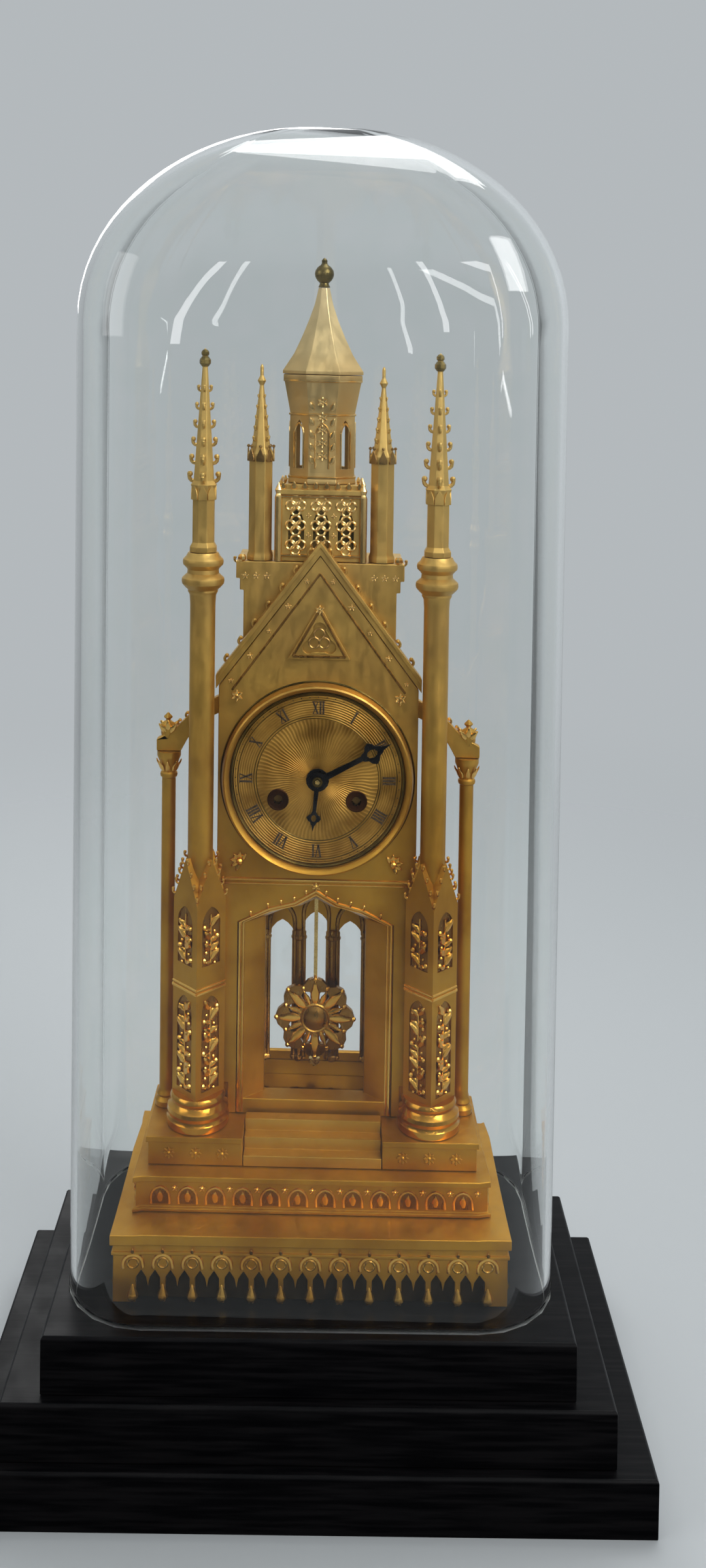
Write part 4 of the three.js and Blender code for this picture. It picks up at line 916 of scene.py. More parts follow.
@dataclass(frozen=True)
class EbonisedWood(Finish):
    """Black stained wood with a satin polish and a faint long grain."""

    name: str = "ebonised_polish"
    slot: Slot = Slot.WOOD
    black: Colour = (0.0015, 0.0015, 0.002)
    brown: Colour = (0.006, 0.0055, 0.006)

    def mix(self, bench: NodeBench) -> None:
        """Lay a long grain into the stain and dust on the polish.

        Args:
            bench: Bench of the new material.
        """
        grain = bench.noise(bench.coords(stretch=(0.06, 1, 1)), 420.0, 6.0)
        dust = bench.noise(bench.coords(), 45.0, 5.0)
        tone = bench.mottle(grain, self.black, self.brown, 0.35, 0.7)
        bench.shade(Base_Color=tone, Roughness=bench.spread(dust, 0.32, 0.48), Specular_IOR_Level=0.09)
        bench.relief(grain, 0.00012, 0.4)


@dataclass(frozen=True)
class BlownGlass(Finish):
    """Clear blown glass with a faint green tint, slight waves and a trace of haze."""

    name: str = "blown_glass"
    slot: Slot = Slot.GLASS
    tint: Colour = (0.985, 0.995, 0.99)
    haze: Colour = (0.965, 0.985, 0.975)
    rough: tuple[float, float] = (0.0, 0.03)
    grain: float = 16.0

    def mix(self, bench: NodeBench) -> None:
        """Make wavy glass with a smear of haze and clear shadows.

        Args:
            bench: Bench of the new material.
        """
        waves = bench.noise(bench.coords(stretch=(1, 1, 0.25)), self.grain, 2.0)
        smear = bench.noise(bench.coords(), 55.0, 4.0)
        bench.shade(
            Base_Color=bench.mottle(smear, self.tint, self.haze, 0.3, 0.7),
            Roughness=bench.spread(smear, *self.rough, 0.55, 0.85),
            IOR=1.45,
            Transmission_Weight=1.0,
        )
        bench.relief(waves, 0.0006, 0.25)
        bench.clear(bench.add("ShaderNodeLightPath", {}).outputs["Is Shadow Ray"], self.tint)


@dataclass(frozen=True)
class Enamel(Finish):
    """Worn dark enamel in the numerals, slightly uneven."""

    name: str = "worn_enamel"
    slot: Slot = Slot.BLUED
    black: Colour = (0.030, 0.016, 0.007)
    worn: Colour = (0.105, 0.060, 0.022)

    def mix(self, bench: NodeBench) -> None:
        """Wear the enamel thin in small spots.

        Args:
            bench: Bench of the new material.
        """
        wear = bench.noise(bench.coords(), 800.0, 4.0)
        tone = bench.mottle(wear, self.black, self.worn, 0.4, 0.8)
        bench.shade(Base_Color=tone, Roughness=bench.spread(wear, 0.25, 0.5))
        bench.relief(wear, 0.00008, 0.4)


GILT = Gilding()
# Burnished gilding for the raised ornament; its lighter colour also paints highlights on it.
GLINT = Gilding(
    name="burnished_highlight_gilding",
    warm=(0.80, 0.46, 0.10),
    deep=(0.62, 0.29, 0.035),
    pale=(0.82, 0.59, 0.26),
    rough=(0.14, 0.26),
    stipple=0.00008,
    metallic=0.95,
)
SHADE = Gilding(
    name="shaded_gilding",
    warm=(0.34, 0.17, 0.035),
    deep=(0.20, 0.09, 0.016),
    pale=(0.36, 0.23, 0.09),
    rough=(0.2, 0.4),
    metallic=0.95,
)
# Lighter copy of the gilding for the belfry and spire: painted light on the top of the tower.
PALE = Gilding(
    name="pale_lit_gilding",
    warm=(0.64, 0.46, 0.20),
    deep=(0.56, 0.37, 0.14),
    pale=(0.76, 0.64, 0.42),
    rough=(0.30, 0.46),
    pale_from=0.50,
    pale_to=0.66,
)
# Lighter copy of the gilding for the entrance steps: painted light on the treads.
LIT_TREAD = Gilding(name="lit_tread_gilding", warm=(0.57, 0.33, 0.06), deep=(0.46, 0.25, 0.034), stipple=0.00006)
# Polished gilding for the pier bases; its lighter colour also paints highlights on them.
POLISHED_HIGHLIGHT = Gilding(
    name="polished_highlight_gilding",
    warm=(0.70, 0.36, 0.055),
    deep=(0.52, 0.22, 0.020),
    pale=(0.72, 0.48, 0.19),
    rough=(0.13, 0.24),
    stipple=0.00006,
    metallic=0.97,
)
MIRROR = Gilding(
    name="mirror_gilding",
    warm=(0.62, 0.50, 0.29),
    deep=(0.50, 0.34, 0.15),
    pale=(0.64, 0.52, 0.32),
    rough=(0.05, 0.11),
    stipple=0.00003,
    metallic=1.0,
)
OLIVE = TurnedMetal("olive_bronze", Slot.GILT, (0.10, 0.075, 0.024), (0.27, 0.20, 0.075), (0.26, 0.42))
PATINA = TurnedMetal("olive_patina", Slot.GILT, (0.045, 0.032, 0.009), (0.13, 0.085, 0.022), (0.32, 0.5))
# Dark colour for the cups round the winding squares: painted shade of the winding holes.
HOLE_SHADE = TurnedMetal("winding_hole_shade", Slot.GILT, (0.030, 0.011, 0.005), (0.075, 0.028, 0.010), (0.4, 0.6))
# Dark raw bronze for the lower tier's inner faces, which also paints the shade in its hollow.
RAW_SHADE = TurnedMetal("raw_bronze_shade", Slot.GILT, (0.020, 0.012, 0.005), (0.055, 0.034, 0.013), (0.5, 0.7))
BRASS = TurnedMetal("movement_brass_lines", Slot.BRASS, (0.45, 0.28, 0.08), (0.74, 0.52, 0.19))
# Darker brass for the barrels: painted shade where they show in the winding holes.
BARREL_SHADE = TurnedMetal("barrel_shade_brass", Slot.BRASS, (0.10, 0.052, 0.014), (0.24, 0.14, 0.045), (0.3, 0.5))
STEEL = TurnedMetal("bright_steel_lines", Slot.STEEL, (0.25, 0.26, 0.28), (0.52, 0.53, 0.55), (0.16, 0.32))
BLUED = TurnedMetal("dark_blued_steel", Slot.BLUED, (0.008, 0.008, 0.010), (0.035, 0.034, 0.036), (0.24, 0.4))
WOOD = EbonisedWood()
GLASS = BlownGlass()
GROUND = BlownGlass(
    "ground_glass_foot", tint=(0.9, 0.93, 0.9), haze=(0.8, 0.84, 0.8), rough=(0.4, 0.6), grain=900.0
)
ENAMEL = Enamel()


def recast(node: str, easing: float, finish: Finish = GILT, name: str = "", body: Body = Body.CASE) -> None:
    """Deliver a CAD node again with its edges eased."""
    Casting.of_node(node).ease(easing).deliver(name or f"{node}_cast", finish, node, body=body)


@dataclass
class BlackBase:
    """Three ebonised steps that carry the clock and the dome."""

    easing: float = 0.5

    def build(self) -> None:
        """Ease the arrises of the steps and polish them."""
        for level in ("bottom", "middle", "top"):
            recast(f"base_{level}_step", self.easing, WOOD, f"ebonised_{level}_step")


@dataclass
class GlassDome:
    """Tall blown dome on an oblong plan with rounded corners."""

    wall: float = 3.0
    corner: float = 40.0
    corner_steps: int = 14
    cap_height: float = 100.0
    cap_steps: int = 18
    last_turn: float = 87.0
    ground_foot: float = 1.8
    held_ring: float = 12.0
    smooth: float = 60.0

    def build(self) -> None:
        """Draw the plan, raise the wall ring by ring and close the cap."""
        box = NodeBox.of("glass_dome")
        casting = Casting()
        bm = casting.bm
        plan = Matrix.Diagonal((box.half.x, box.half.y, 1, 1))
        made = bmesh.ops.create_grid(bm, x_segments=1, y_segments=1, size=1, matrix=plan)
        casting.round_off(made["verts"], self.corner, self.corner_steps, "VERTICES")
        casting.place(shift(box.foot))
        bmesh.ops.delete(bm, geom=bm.faces[:], context="FACES_ONLY")
        rim = bm.edges[:]
        size = 1.0
        for level, width in self.rings(box.low.z, box.high.z - self.cap_height):
            made = bmesh.ops.extrude_edge_only(bm, edges=rim)
            ring = [item for item in made["geom"] if isinstance(item, bmesh.types.BMVert)]
            rim = [item for item in made["geom"] if isinstance(item, bmesh.types.BMEdge)]
            bmesh.ops.scale(bm, vec=(width / size, width / size, 1), verts=ring)
            bmesh.ops.translate(bm, vec=UP * (level - ring[0].co.z), verts=ring)
            size = width
        bmesh.ops.contextual_create(bm, geom=rim)
        for face in bm.faces:
            face.material_index = int(face.calc_center_median().z < box.low.z + self.ground_foot)
        piece = casting.deliver("blown_dome", GLASS, "glass_dome", body=Body.DOME, smooth=self.smooth)
        piece.data.materials.append(GROUND.material())
        thickness = piece.modifiers.new("wall", "SOLIDIFY")
        thickness.thickness = self.wall * MM
        thickness.offset = -1.0

    def rings(self, foot: float, spring: float) -> Iterator[tuple[float, float]]:
        """Rings of the dome above its foot.

        Args:
            foot: Level of the foot.
            spring: Level where the cap begins.

        Returns:
            For each ring its level and its width as a share of the plan.
        """
        low, high = foot + self.held_ring, spring - self.held_ring
        for level in (foot + self.ground_foot, low, (foot + spring) / 2, high, spring):
            yield level, 1.0
        for step in range(1, self.cap_steps + 1):
            turn = math.radians(self.last_turn * step / self.cap_steps)
            yield spring + self.cap_height * math.sin(turn), math.cos(turn)


@dataclass
class Plinth:
    """Pierced lower tier, upper tier with a blind arcade, pedestals and entrance steps."""

    bay: float = 14.4
    upper_bay: float = 14.4 * 0.96
    corner: float = 8.0
    skirt_inset: float = 1.5
    wall: float = 4.0
    easing: float = 0.35
    eye_height: float = 19.5
    eye_radius: float = 1.9
    eye_drill: tuple[float, float] = (-3.0, 6.0)
    level_face: float = 0.9
    hood: tuple[float, float, float] = (4.6, 2.2, 4.6)
    arch: tuple[float, float, float] = (4.6, 3.4, 5.2)
    foot_length: float = 9.0
    arcade_lift: float = 0.2
    rosette_lift: float = 0.42
    rosettes_front: tuple[float, ...] = (-0.56, 0.0, 0.56)
    rosettes_flank: tuple[float, ...] = (0.2, 0.4, 0.6, 0.8)

    def build(self) -> None:
        """Model the tiers and their ornament."""
        self.lower_tier()
        self.lower_ornament()
        self.upper_arcade()
        self.pedestal_relief()
        recast("plinth_upper_tier", 0.45)
        recast("pedestal_course", 0.4)
        # The steps wear the lighter tread gilding, painted light on their treads.
        recast("entrance_steps", 0.4, LIT_TREAD)

    def stations(self, box: NodeBox, inset: float, lift: float, pitch: float) -> Iterator[Matrix]:
        """Places at an equal pitch along the four sides of a tier, each facing outwards.

        Args:
            box: Box of the tier.
            inset: Distance of the wall face inside the box.
            lift: Height of the places above the tier's foot.
            pitch: Distance between two places.

        Returns:
            One matrix for each place.
        """
        for foot, outward, along, run in box.walls(inset):
            bays = int((run - self.corner) * 2 / pitch)
            for index in range(bays + 1):
                yield facing(foot + UP * lift + along * (index - bays / 2) * pitch, outward)

    def lower_tier(self) -> None:
        """Cut the eyes above the legs through the CAD tier, and colour its inner faces a dark raw bronze that
        also paints the shade in its hollow and arches.
        """
        node = "plinth_lower_tier"
        box = NodeBox.of(node)
        (low, high), r = self.eye_drill, self.eye_radius
        drill = Casting.turned([(0, low), (r, low), (r, high), (0, high)], steps=14).place(rotation("X", 90))
        eyes = Casting().stamp(drill, *self.stations(box, self.skirt_inset, self.eye_height, self.bay))
        tier = Casting.of_node(node).combine(eyes).ease(self.easing)
        reach = box.half - Vector((1, 1, 0)) * (self.skirt_inset + self.wall - 1)
        # Inner faces that don't face up get the dark second material: painted shade in the hollow behind the
        # arches.
        for face in tier.bm.faces:
            spot = face.calc_center_median() - box.middle
            inside = abs(spot.x) < reach.x and abs(spot.y) < reach.y
            face.material_index = int(inside and face.normal.z < self.level_face)
        piece = tier.deliver(f"{node}_cast", GILT, node)
        piece.data.materials.append(RAW_SHADE.material())

    def lower_ornament(self) -> None:
        """Hoods and rings round the eyes, and drops on the legs."""
        box = NodeBox.of("plinth_lower_tier")
        hood = arch_bar(pointed_arch(*self.hood, SMALL_ARCH), 1.0).place(shift(UP * -2.6))
        crest = leaf(3.4, 2.2, 1.6).place(shift((0, -0.3, 4.4)))
        hood.join(Casting.hoop(self.eye_radius + 0.55, 0.55, steps=14), crest)
        ornament = Casting().stamp(hood, *self.stations(box, self.skirt_inset, self.eye_height, self.bay))
        legs = self.stations(box, self.skirt_inset + 0.2, self.foot_length + 0.3, self.bay)
        ornament.stamp(teardrop(self.foot_length, 2.7), *legs).deliver("plinth_arcade_ornament", GLINT)

    def upper_arcade(self) -> None:
        """Row of small blind arches on a darker ground that paints the shade inside them, with leaf bosses
        between them.
        """
        box = NodeBox.of("plinth_upper_tier")
        outline = pointed_arch(*self.arch, SMALL_ARCH)
        blade = leaf(6.4, 3.6, 1.6).place(shift(UP * 0.6))
        boss = rosette(1.9, 5).place(shift((self.bay / 2, -0.2, 8.2)))
        arch = arch_bar(outline, 0.75).join(blade, boss)
        plate = Casting.prism(outline, 0.5)
        for name, motif, inset, finish in (
            ("plinth_blind_arcade", arch, 1.3, GLINT),
            # The plate inside each arch, in the darker gilding, is painted shade.
            ("plinth_arcade_shade", plate, 1.2, SHADE),
        ):
            row = self.stations(box, inset, box.size.z * self.arcade_lift, self.upper_bay)
            Casting().stamp(motif, *row).deliver(name, finish)

    def pedestal_relief(self) -> None:
        """Low rosettes on the fronts and flanks of the pedestals."""
        box = NodeBox.of("pedestal_course")
        inner = NodeBox.of("entrance_steps").high.x
        outer = box.high.x - 1
        half = (outer - inner) / 2
        level = box.low.z + box.size.z * self.rosette_lift
        flower = rosette(3.3, 8)
        flowers = Casting()
        for side in Side:
            for share in self.rosettes_front:
                x = side.value * (inner + half + share * half)
                flowers.attach(flower, (x, box.low.y + 1, level))
            for share in self.rosettes_flank:
                y = box.low.y + box.size.y * share
                flowers.attach(flower, (side.value * outer, y, level), side.outward)
        flowers.deliver("pedestal_rosettes", GILT)


@dataclass
class CornerPier:
    """Pier set cornerwise, round column with a double ring, and crocketed pinnacle."""

    side: Side
    base_height: float = 16.0
    base_shape: Profile = (
        (0.0, 0.0), (0.99, 0.0), (1.0, 0.05), (1.0, 0.22), (0.965, 0.27), (0.95, 0.34), (0.985, 0.46),
        (0.96, 0.58), (0.87, 0.66), (0.83, 0.73), (0.86, 0.8), (0.885, 0.87), (0.86, 0.95), (0.82, 1.0),
        (0.0, 1.0),
    )
    shaft: float = 19.0
    gablet: float = 22.0
    sunk: float = 1.0
    panel_half: float = 5.9
    panel_rise: float = 8.5
    panels: tuple[tuple[float, float], ...] = ((0.03, 0.52), (0.68, 0.98))
    vine_pitch: float = 5.6
    rolls: Profile = ((0.0, 0.95), (2.0, 0.6))
    hooks: tuple[float, ...] = (0.1, 0.36, 0.62, 0.88)
    column_radius: float = 6.5
    ring_height: float = 20.0
    ring_shape: Profile = (
        (0.62, -0.08), (0.70, 0.0), (0.70, 0.05), (0.84, 0.12), (0.97, 0.2), (1.0, 0.27), (0.98, 0.35),
        (0.84, 0.42), (0.74, 0.47), (0.73, 0.57), (0.82, 0.63), (0.93, 0.69), (0.955, 0.76), (0.93, 0.83),
        (0.8, 0.9), (0.7, 1.0),
    )
    pinnacle_radius: float = 6.6
    pinnacle_tip: float = 10.0
    pinnacle_knobs: Profile = ((2.8, 0.46), (7.0, 0.32))
    crocket_rows: int = 6
    spire_share: float = 0.335

    def build(self) -> None:
        """Model the pier, its foliage, the column and the pinnacle."""
        self.pier()
        self.base()
        self.foliage()
        self.column()
        self.pinnacle()

    @property
    def box(self) -> NodeBox:
        """Box of the pier."""
        return NodeBox.of(f"pier_{self.side.word}")

    @property
    def axis(self) -> Vector:
        """Foot of the pier's upright axis."""
        column = NodeBox.of(f"column_{self.side.word}").middle
        return Vector((column.x, column.y, self.box.low.z))

    @property
    def eave(self) -> float:
        """Height of the shaft's shoulders above its foot."""
        return self.box.size.z - self.gablet

    def faces(self) -> list[tuple[Vector, Vector]]:
        """Foot and outward direction of each face of the shaft."""
        return [spoke(self.axis, 45 + 90 * face, self.shaft / 2) for face in range(4)]

    def spans(self) -> list[tuple[float, float]]:
        """Foot and head of the sunk panels, above the pier's foot."""
        run = self.eave - self.base_height
        return [(self.base_height + run * low, self.base_height + run * high) for low, high in self.panels]

    def lancet(self, height: float, depth: float) -> Casting:
        """Plate in the shape of a sunk panel."""
        outline = pointed_arch(self.panel_half, height - self.panel_rise, self.panel_rise)
        return Casting.prism(outline, depth)

    def pier(self) -> None:
        """Cross two gabled blocks and sink the lancet panels into their faces."""
        node = f"pier_{self.side.word}"
        half = self.shaft / 2
        house = (half, self.base_height - 1, self.eave, self.eave + self.gablet, self.shaft)
        block = Casting.gable(*house).place(shift(FRONT * half))
        across = Casting.gable(*house).place(rotation("Z", 90) @ shift(FRONT * half))
        block.combine(across, "UNION").flatten()
        block.place(shift(self.axis) @ rotation("Z", 45))
        panels = Casting()
        for at, outward in self.faces():
            for foot, head in self.spans():
                plate = self.lancet(head - foot, self.sunk * 2)
                panels.attach(plate, at + outward * self.sunk + UP * foot, outward)
        block.combine(panels).deliver(f"{node}_cast", GILT, node)

    def base(self) -> None:
        """Turn the round base with its two rolls."""
        base = Casting.turned(scaled(self.base_shape, self.box.half.x, self.base_height), steps=48)
        # The lighter polished gilding paints highlights on the rolls of the base.
        base.place(shift(self.axis)).deliver(f"pier_base_{self.side.word}", POLISHED_HIGHLIGHT)

    def foliage(self) -> None:
        """Uneven vines on a dark ground of painted shade in the sunk panels, a roll between them, crockets on
        the gablets.
        """
        half = self.shaft / 2
        ground = Casting()
        vine = Casting()
        hook = crocket(1.5)
        for number, (face, outward) in enumerate(self.faces()):
            across = UP.cross(outward)
            for foot, head in self.spans():
                # Dark plate on the floor of each sunk panel: painted shade.
                ground.attach(self.lancet(head - foot, 0.5), face - outward * 0.8 + UP * foot, outward)
                self.grow(vine, face - outward * 0.5, outward, foot, head, number)
            level = face + UP * (self.spans()[0][1] + 3)
            for lift, radius in self.rolls:
                vine.join(Casting.bar([level + across * x * half + UP * lift for x in HANDS], radius))
            for hand in HANDS:
                for share in self.hooks:
                    slope = across * hand * half * (1 - share) + UP * (self.eave + self.gablet * share)
                    vine.attach(hook, face - outward * 0.3 + slope, outward * 0.5 + across * hand)
        ground.deliver(f"pier_ground_{self.side.word}", SHADE)
        vine.deliver(f"pier_foliage_{self.side.word}", GLINT)

    def grow(
        self, vine: Casting, stem: Vector, outward: Vector, foot: float, head: float, number: int
    ) -> None:
        """Grow the vine of one panel: a stem with uneven pairs of leaves and berries.

        Args:
            vine: Casting that the vine is added to.
            stem: Foot of the pier's face at the stem.
            outward: Direction that the face looks in.
            foot: Foot of the panel.
            head: Head of the panel.
            number: Number of the face, which varies the sway.
        """
        blade = leaf(6.0, 3.6, 2.4)
        across = UP.cross(outward)
        vine.join(Casting.bar([stem + UP * (foot + 1), stem + UP * (head - 4)], 0.5))
        for index in range(int((head - foot - 3) / self.vine_pitch)):
            at = stem + UP * (foot + 1.6 + index * self.vine_pitch)
            for hand in HANDS:
                sway = math.sin(2.3 * index + 1.9 * number + 1.4 * hand)
                lean = UP * (0.8 + 0.45 * sway) + across * hand
                vine.attach(blade, at + UP * sway, outward, lean, 1.0 + 0.28 * sway)
                berry = at + across * hand * (3.4 - sway) - UP * (1.6 * sway)
                vine.stamp(bead(1.2 - 0.35 * sway), shift(berry))

    def column(self) -> None:
        """Turn the column with its double ring."""
        node = f"column_{self.side.word}"
        box = NodeBox.of(node)
        shaft = self.column_radius
        start = box.size.z - self.ring_height
        profile = [(0.0, 0.0), (shaft, 0.0), (shaft, start * 0.5), (shaft, start * 0.96)]
        for radius, height in scaled(self.ring_shape, box.half.x, self.ring_height):
            profile.append((max(shaft, radius), start + height))
        profile.append((0.0, box.size.z))
        Casting.turned(profile, steps=48).place(shift(box.foot)).deliver(f"{node}_cast", GILT, node)

    def pinnacle(self) -> None:
        """Eight-sided shaft with gablets, and a spire with hooked crockets and dark knobs."""
        node = f"pinnacle_{self.side.word}"
        box = NodeBox.of(node)
        wide = self.pinnacle_radius
        shaft = box.size.z * self.spire_share
        tip = box.size.z - self.pinnacle_tip
        profile = [
            (0.0, 0.0), (1.1, 0.0), (1.1, 2.6), (0.9, 4.8), (0.9, shaft - 3), (1.08, shaft - 0.6),
            (0.84, shaft + 1.4), (0.22, tip), (0.42, tip + 2.8), (0.2, tip + 5.0), (0.28, tip + 7.0),
            (0.0, box.size.z),
        ]
        casting = Casting.turned(scaled(profile, wide), steps=8, lead=FACET_LEAD).ease(0.22)
        casting.place(shift(box.foot))
        hook = crocket(2.2)
        for row in range(self.crocket_rows):
            share = row / self.crocket_rows
            level = box.foot + UP * (shaft + 1 + (tip - shaft - 4) * share)
            casting.ring(hook, level, wide * (0.78 - 0.6 * share), 4, size=1.12 - 0.5 * share)
        gablet = Casting.gable(2.3, 0, 3.2, 8.0, 0.9).ease(0.2)
        casting.ring(gablet, box.foot + UP * (shaft - 8.2), wide * 0.97, 8)
        casting.deliver(f"{node}_cast", GILT, node)
        knobs = Casting()
        for lift, share in self.pinnacle_knobs:
            knobs.stamp(bead(wide * share), shift(box.foot + UP * (tip + lift)))
        knobs.deliver(f"pinnacle_knobs_{self.side.word}", OLIVE)


@dataclass
class SideButtress:
    """Slim outer colonnette with a leaf capital, and the flying buttress above it."""

    side: Side
    radius: float = 3.65
    capital: float = 14.0
    easing: float = 0.4
    boss: tuple[float, float, float] = (6.0, 2.4, 9.1)
    leans: tuple[float, ...] = (-0.9, 0.0, 0.9)
    crockets: tuple[float, ...] = (5.0, 9.0, 13.0)

    def build(self) -> None:
        """Turn the colonnette, dress its capital and ease the buttress."""
        node = f"colonnette_{self.side.word}"
        box = NodeBox.of(node)
        top = box.size.z
        start = top - self.capital
        profile = [
            (0.0, 0.0), (1.6, 0.0), (1.6, 2.6), (1.34, 3.6), (1.22, 4.6), (1.36, 5.8), (1.2, 7.2), (1.0, 9.0),
            (1.0, start * 0.5), (1.0, start), (1.2, start + 0.6), (1.26, start + 1.6), (1.2, start + 2.6),
            (1.0, start + 3.4), (1.12, start + 6.5), (1.6, start + 10.4), (1.72, top - 2.4), (1.72, top),
            (0.0, top),
        ]
        casting = Casting.turned(scaled(profile, self.radius), steps=32).place(shift(box.foot))
        casting.deliver(f"{node}_cast", GILT, node)
        collar = box.foot + UP * (start + 3.2)
        leaves = Casting().ring(leaf(7.0, 3.0, 1.6), collar, self.radius * 1.02, 8, lean=0.35)
        leaves.deliver(f"capital_leaves_{self.side.word}", GLINT)
        self.buttress()

    def buttress(self) -> None:
        """Ease the arm and set leaves on its boss and crockets on its back."""
        node = f"flying_buttress_{self.side.word}"
        box = NodeBox.of(node)
        recast(node, self.easing)
        casting = Casting()
        outer = Vector((box.low.x if self.side is Side.LEFT else box.high.x, box.middle.y, box.low.z))
        inward = -self.side.outward
        blade = leaf(7.2, 3.6, 2.0)
        inside, forward, lift = self.boss
        for front in (FRONT, BACK):
            boss = outer + inward * inside + front * forward + UP * lift
            for lean in self.leans:
                casting.attach(blade, boss, front, (lean, 0, 1))
        for reach in self.crockets:
            at = outer + inward * (6.4 + reach) + UP * (8.2 + reach)
            casting.attach(crocket(1.5), at, UP - inward, UP + inward)
        casting.deliver(f"buttress_leaves_{self.side.word}", GLINT)


@dataclass
class ChurchFront:
    """Front wall with its gable and doorway, the case walls and the rear tracery."""

    coping_width: float = 4.5
    coping_gap: float = 0.3
    coping_end: float = 1.5
    crockets: int = 7
    gable_bosses: int = 5
    head_rise: float = 18.0
    head_shape: Profile = ((1.0, 0.0), (0.62, 0.42), (0.28, 0.62), (0.0, 1.0))
    knob_spots: Profile = ((0.84, 0.2), (0.62, 0.44), (0.45, 0.54), (0.28, 0.64), (0.13, 0.84))
    rolls: Profile = ((0.9, 0.9), (2.9, 0.55))
    string_rolls: Profile = ((3.4, 0.9), (5.6, 0.55))
    spandrel: tuple[float, float] = (40.0, 6.0)
    spandrel_leaves: tuple[float, ...] = (160, 120, 80, 40, 0, -40)
    upper_boss: tuple[float, float] = (42.5, 8.0)
    lights: int = 3
    cluster: Profile = ((-2.7, 1.3), (0.0, 2.0), (2.7, 1.3))
    floor_thick: float = 0.4

    def build(self) -> None:
        """Model the walls and their carving."""
        recast("facade", 0.4)
        recast("doorway_portal", 0.5)
        recast("gable_trefoil", 0.3)
        for node in ("case_side_left", "case_side_right", "case_back"):
            recast(node, 0.4)
        recast("rear_tracery", 0.35)
        self.coping()
        self.gable_carving()
        self.doorway_carving()
        self.rear_lights()

    def coping(self) -> None:
        """Raking coping in two steps, with hooked crockets along its back."""
        wall = NodeBox.of("facade")
        box = NodeBox.of("gable_coping")
        eave = NodeBox.of("case_back").high.z
        half = wall.half.x
        rise = wall.high.z - eave
        slope = math.atan2(rise, half)
        lift = self.coping_width / math.cos(slope)
        gap = self.coping_gap / math.cos(slope)
        ends = half + self.coping_end
        drop = self.coping_end * rise / half

        def arms(low: float, high: float, depth: float) -> Casting:
            """Both arms of the coping.

            Args:
                low: Offset of the underside above the gable.
                high: Offset of the top above the gable.
                depth: Thickness from front to back.

            Returns:
                The two arms in one.
            """
            under = [(-ends, low - drop), (0, rise + low), (ends, low - drop)]
            over = [(ends, high - drop), (0, rise + high), (-ends, high - drop)]
            return Casting.prism(under + over, depth)

        slab = arms(gap, gap + lift, box.size.y).ease(0.4)
        fillet = arms(gap + lift * 0.55, gap + lift * 0.98, box.size.y + 1.2).ease(0.35)
        slab.join(fillet.place(shift(FRONT)))
        slab.place(shift((wall.middle.x, box.low.y, eave)))
        hook = crocket(1.9)
        for side in Side:
            outward = side.outward * math.sin(slope) + UP * math.cos(slope)
            along = UP * math.sin(slope) - side.outward * math.cos(slope)
            for index in range(self.crockets):
                share = (index + 0.5) / (self.crockets + 0.3)
                x = wall.middle.x + side.value * half * (1 - share)
                level = eave + rise * share + gap + lift - 0.4
                slab.attach(hook, (x, box.middle.y, level), outward, along)
        slab.deliver("gable_coping_cast", GILT, "gable_coping")

    def gable_carving(self) -> None:
        """Dark lines of painted shade round the sunk trefoil and of painted shadow under the coping, with
        bright bosses on the band between.
        """
        wall = NodeBox.of("facade")
        panel = NodeBox.of("gable_trefoil")
        eave = NodeBox.of("case_back").high.z
        front = panel.low.y
        lines = Casting()
        bosses = Casting()
        sill = panel.low.z + 1.4
        head = Vector((panel.middle.x, front, panel.high.z - 2.6))
        left = Vector((panel.low.x + 2.6, front, sill))
        right = Vector((panel.high.x - 2.6, front, sill))
        # Dark bars and lobes round the trefoil: painted shade of a sunk trefoil.
        for ends in ((head, left), (left, right), (right, head)):
            lines.join(Casting.bar(ends, 0.7))
        heart = Vector((panel.middle.x, front, panel.low.z + panel.size.z * 0.36))
        foil = Casting.hoop(2.7, 0.5, steps=16)
        lines.stamp(foil, *(shift(heart + clock(angle) * 3.0) for angle in (0, 120, 240)))
        bosses.attach(rosette(2.6, 6), head + FRONT * 0.4)
        foot = Vector((wall.middle.x, wall.low.y, 0))
        for side in Side:
            eaves = foot + side.outward * wall.half.x + UP * eave
            apex = foot + UP * wall.high.z
            # Dark bar under the coping: painted shadow.
            lines.join(Casting.bar([eaves - side.outward * 7 - UP * 2, apex - UP * 9], 0.6))
            start = eaves - side.outward * 3.4 - UP + FRONT * 0.2
            for index in range(self.gable_bosses):
                spot = start.lerp(apex - UP * 4 + FRONT * 0.2, (index + 0.3) / self.gable_bosses)
                bosses.attach(rosette(2.0 if index % 2 else 1.6, 5), spot)
        lines.deliver("gable_shadow_lines", SHADE)
        bosses.deliver("gable_carving", GLINT)

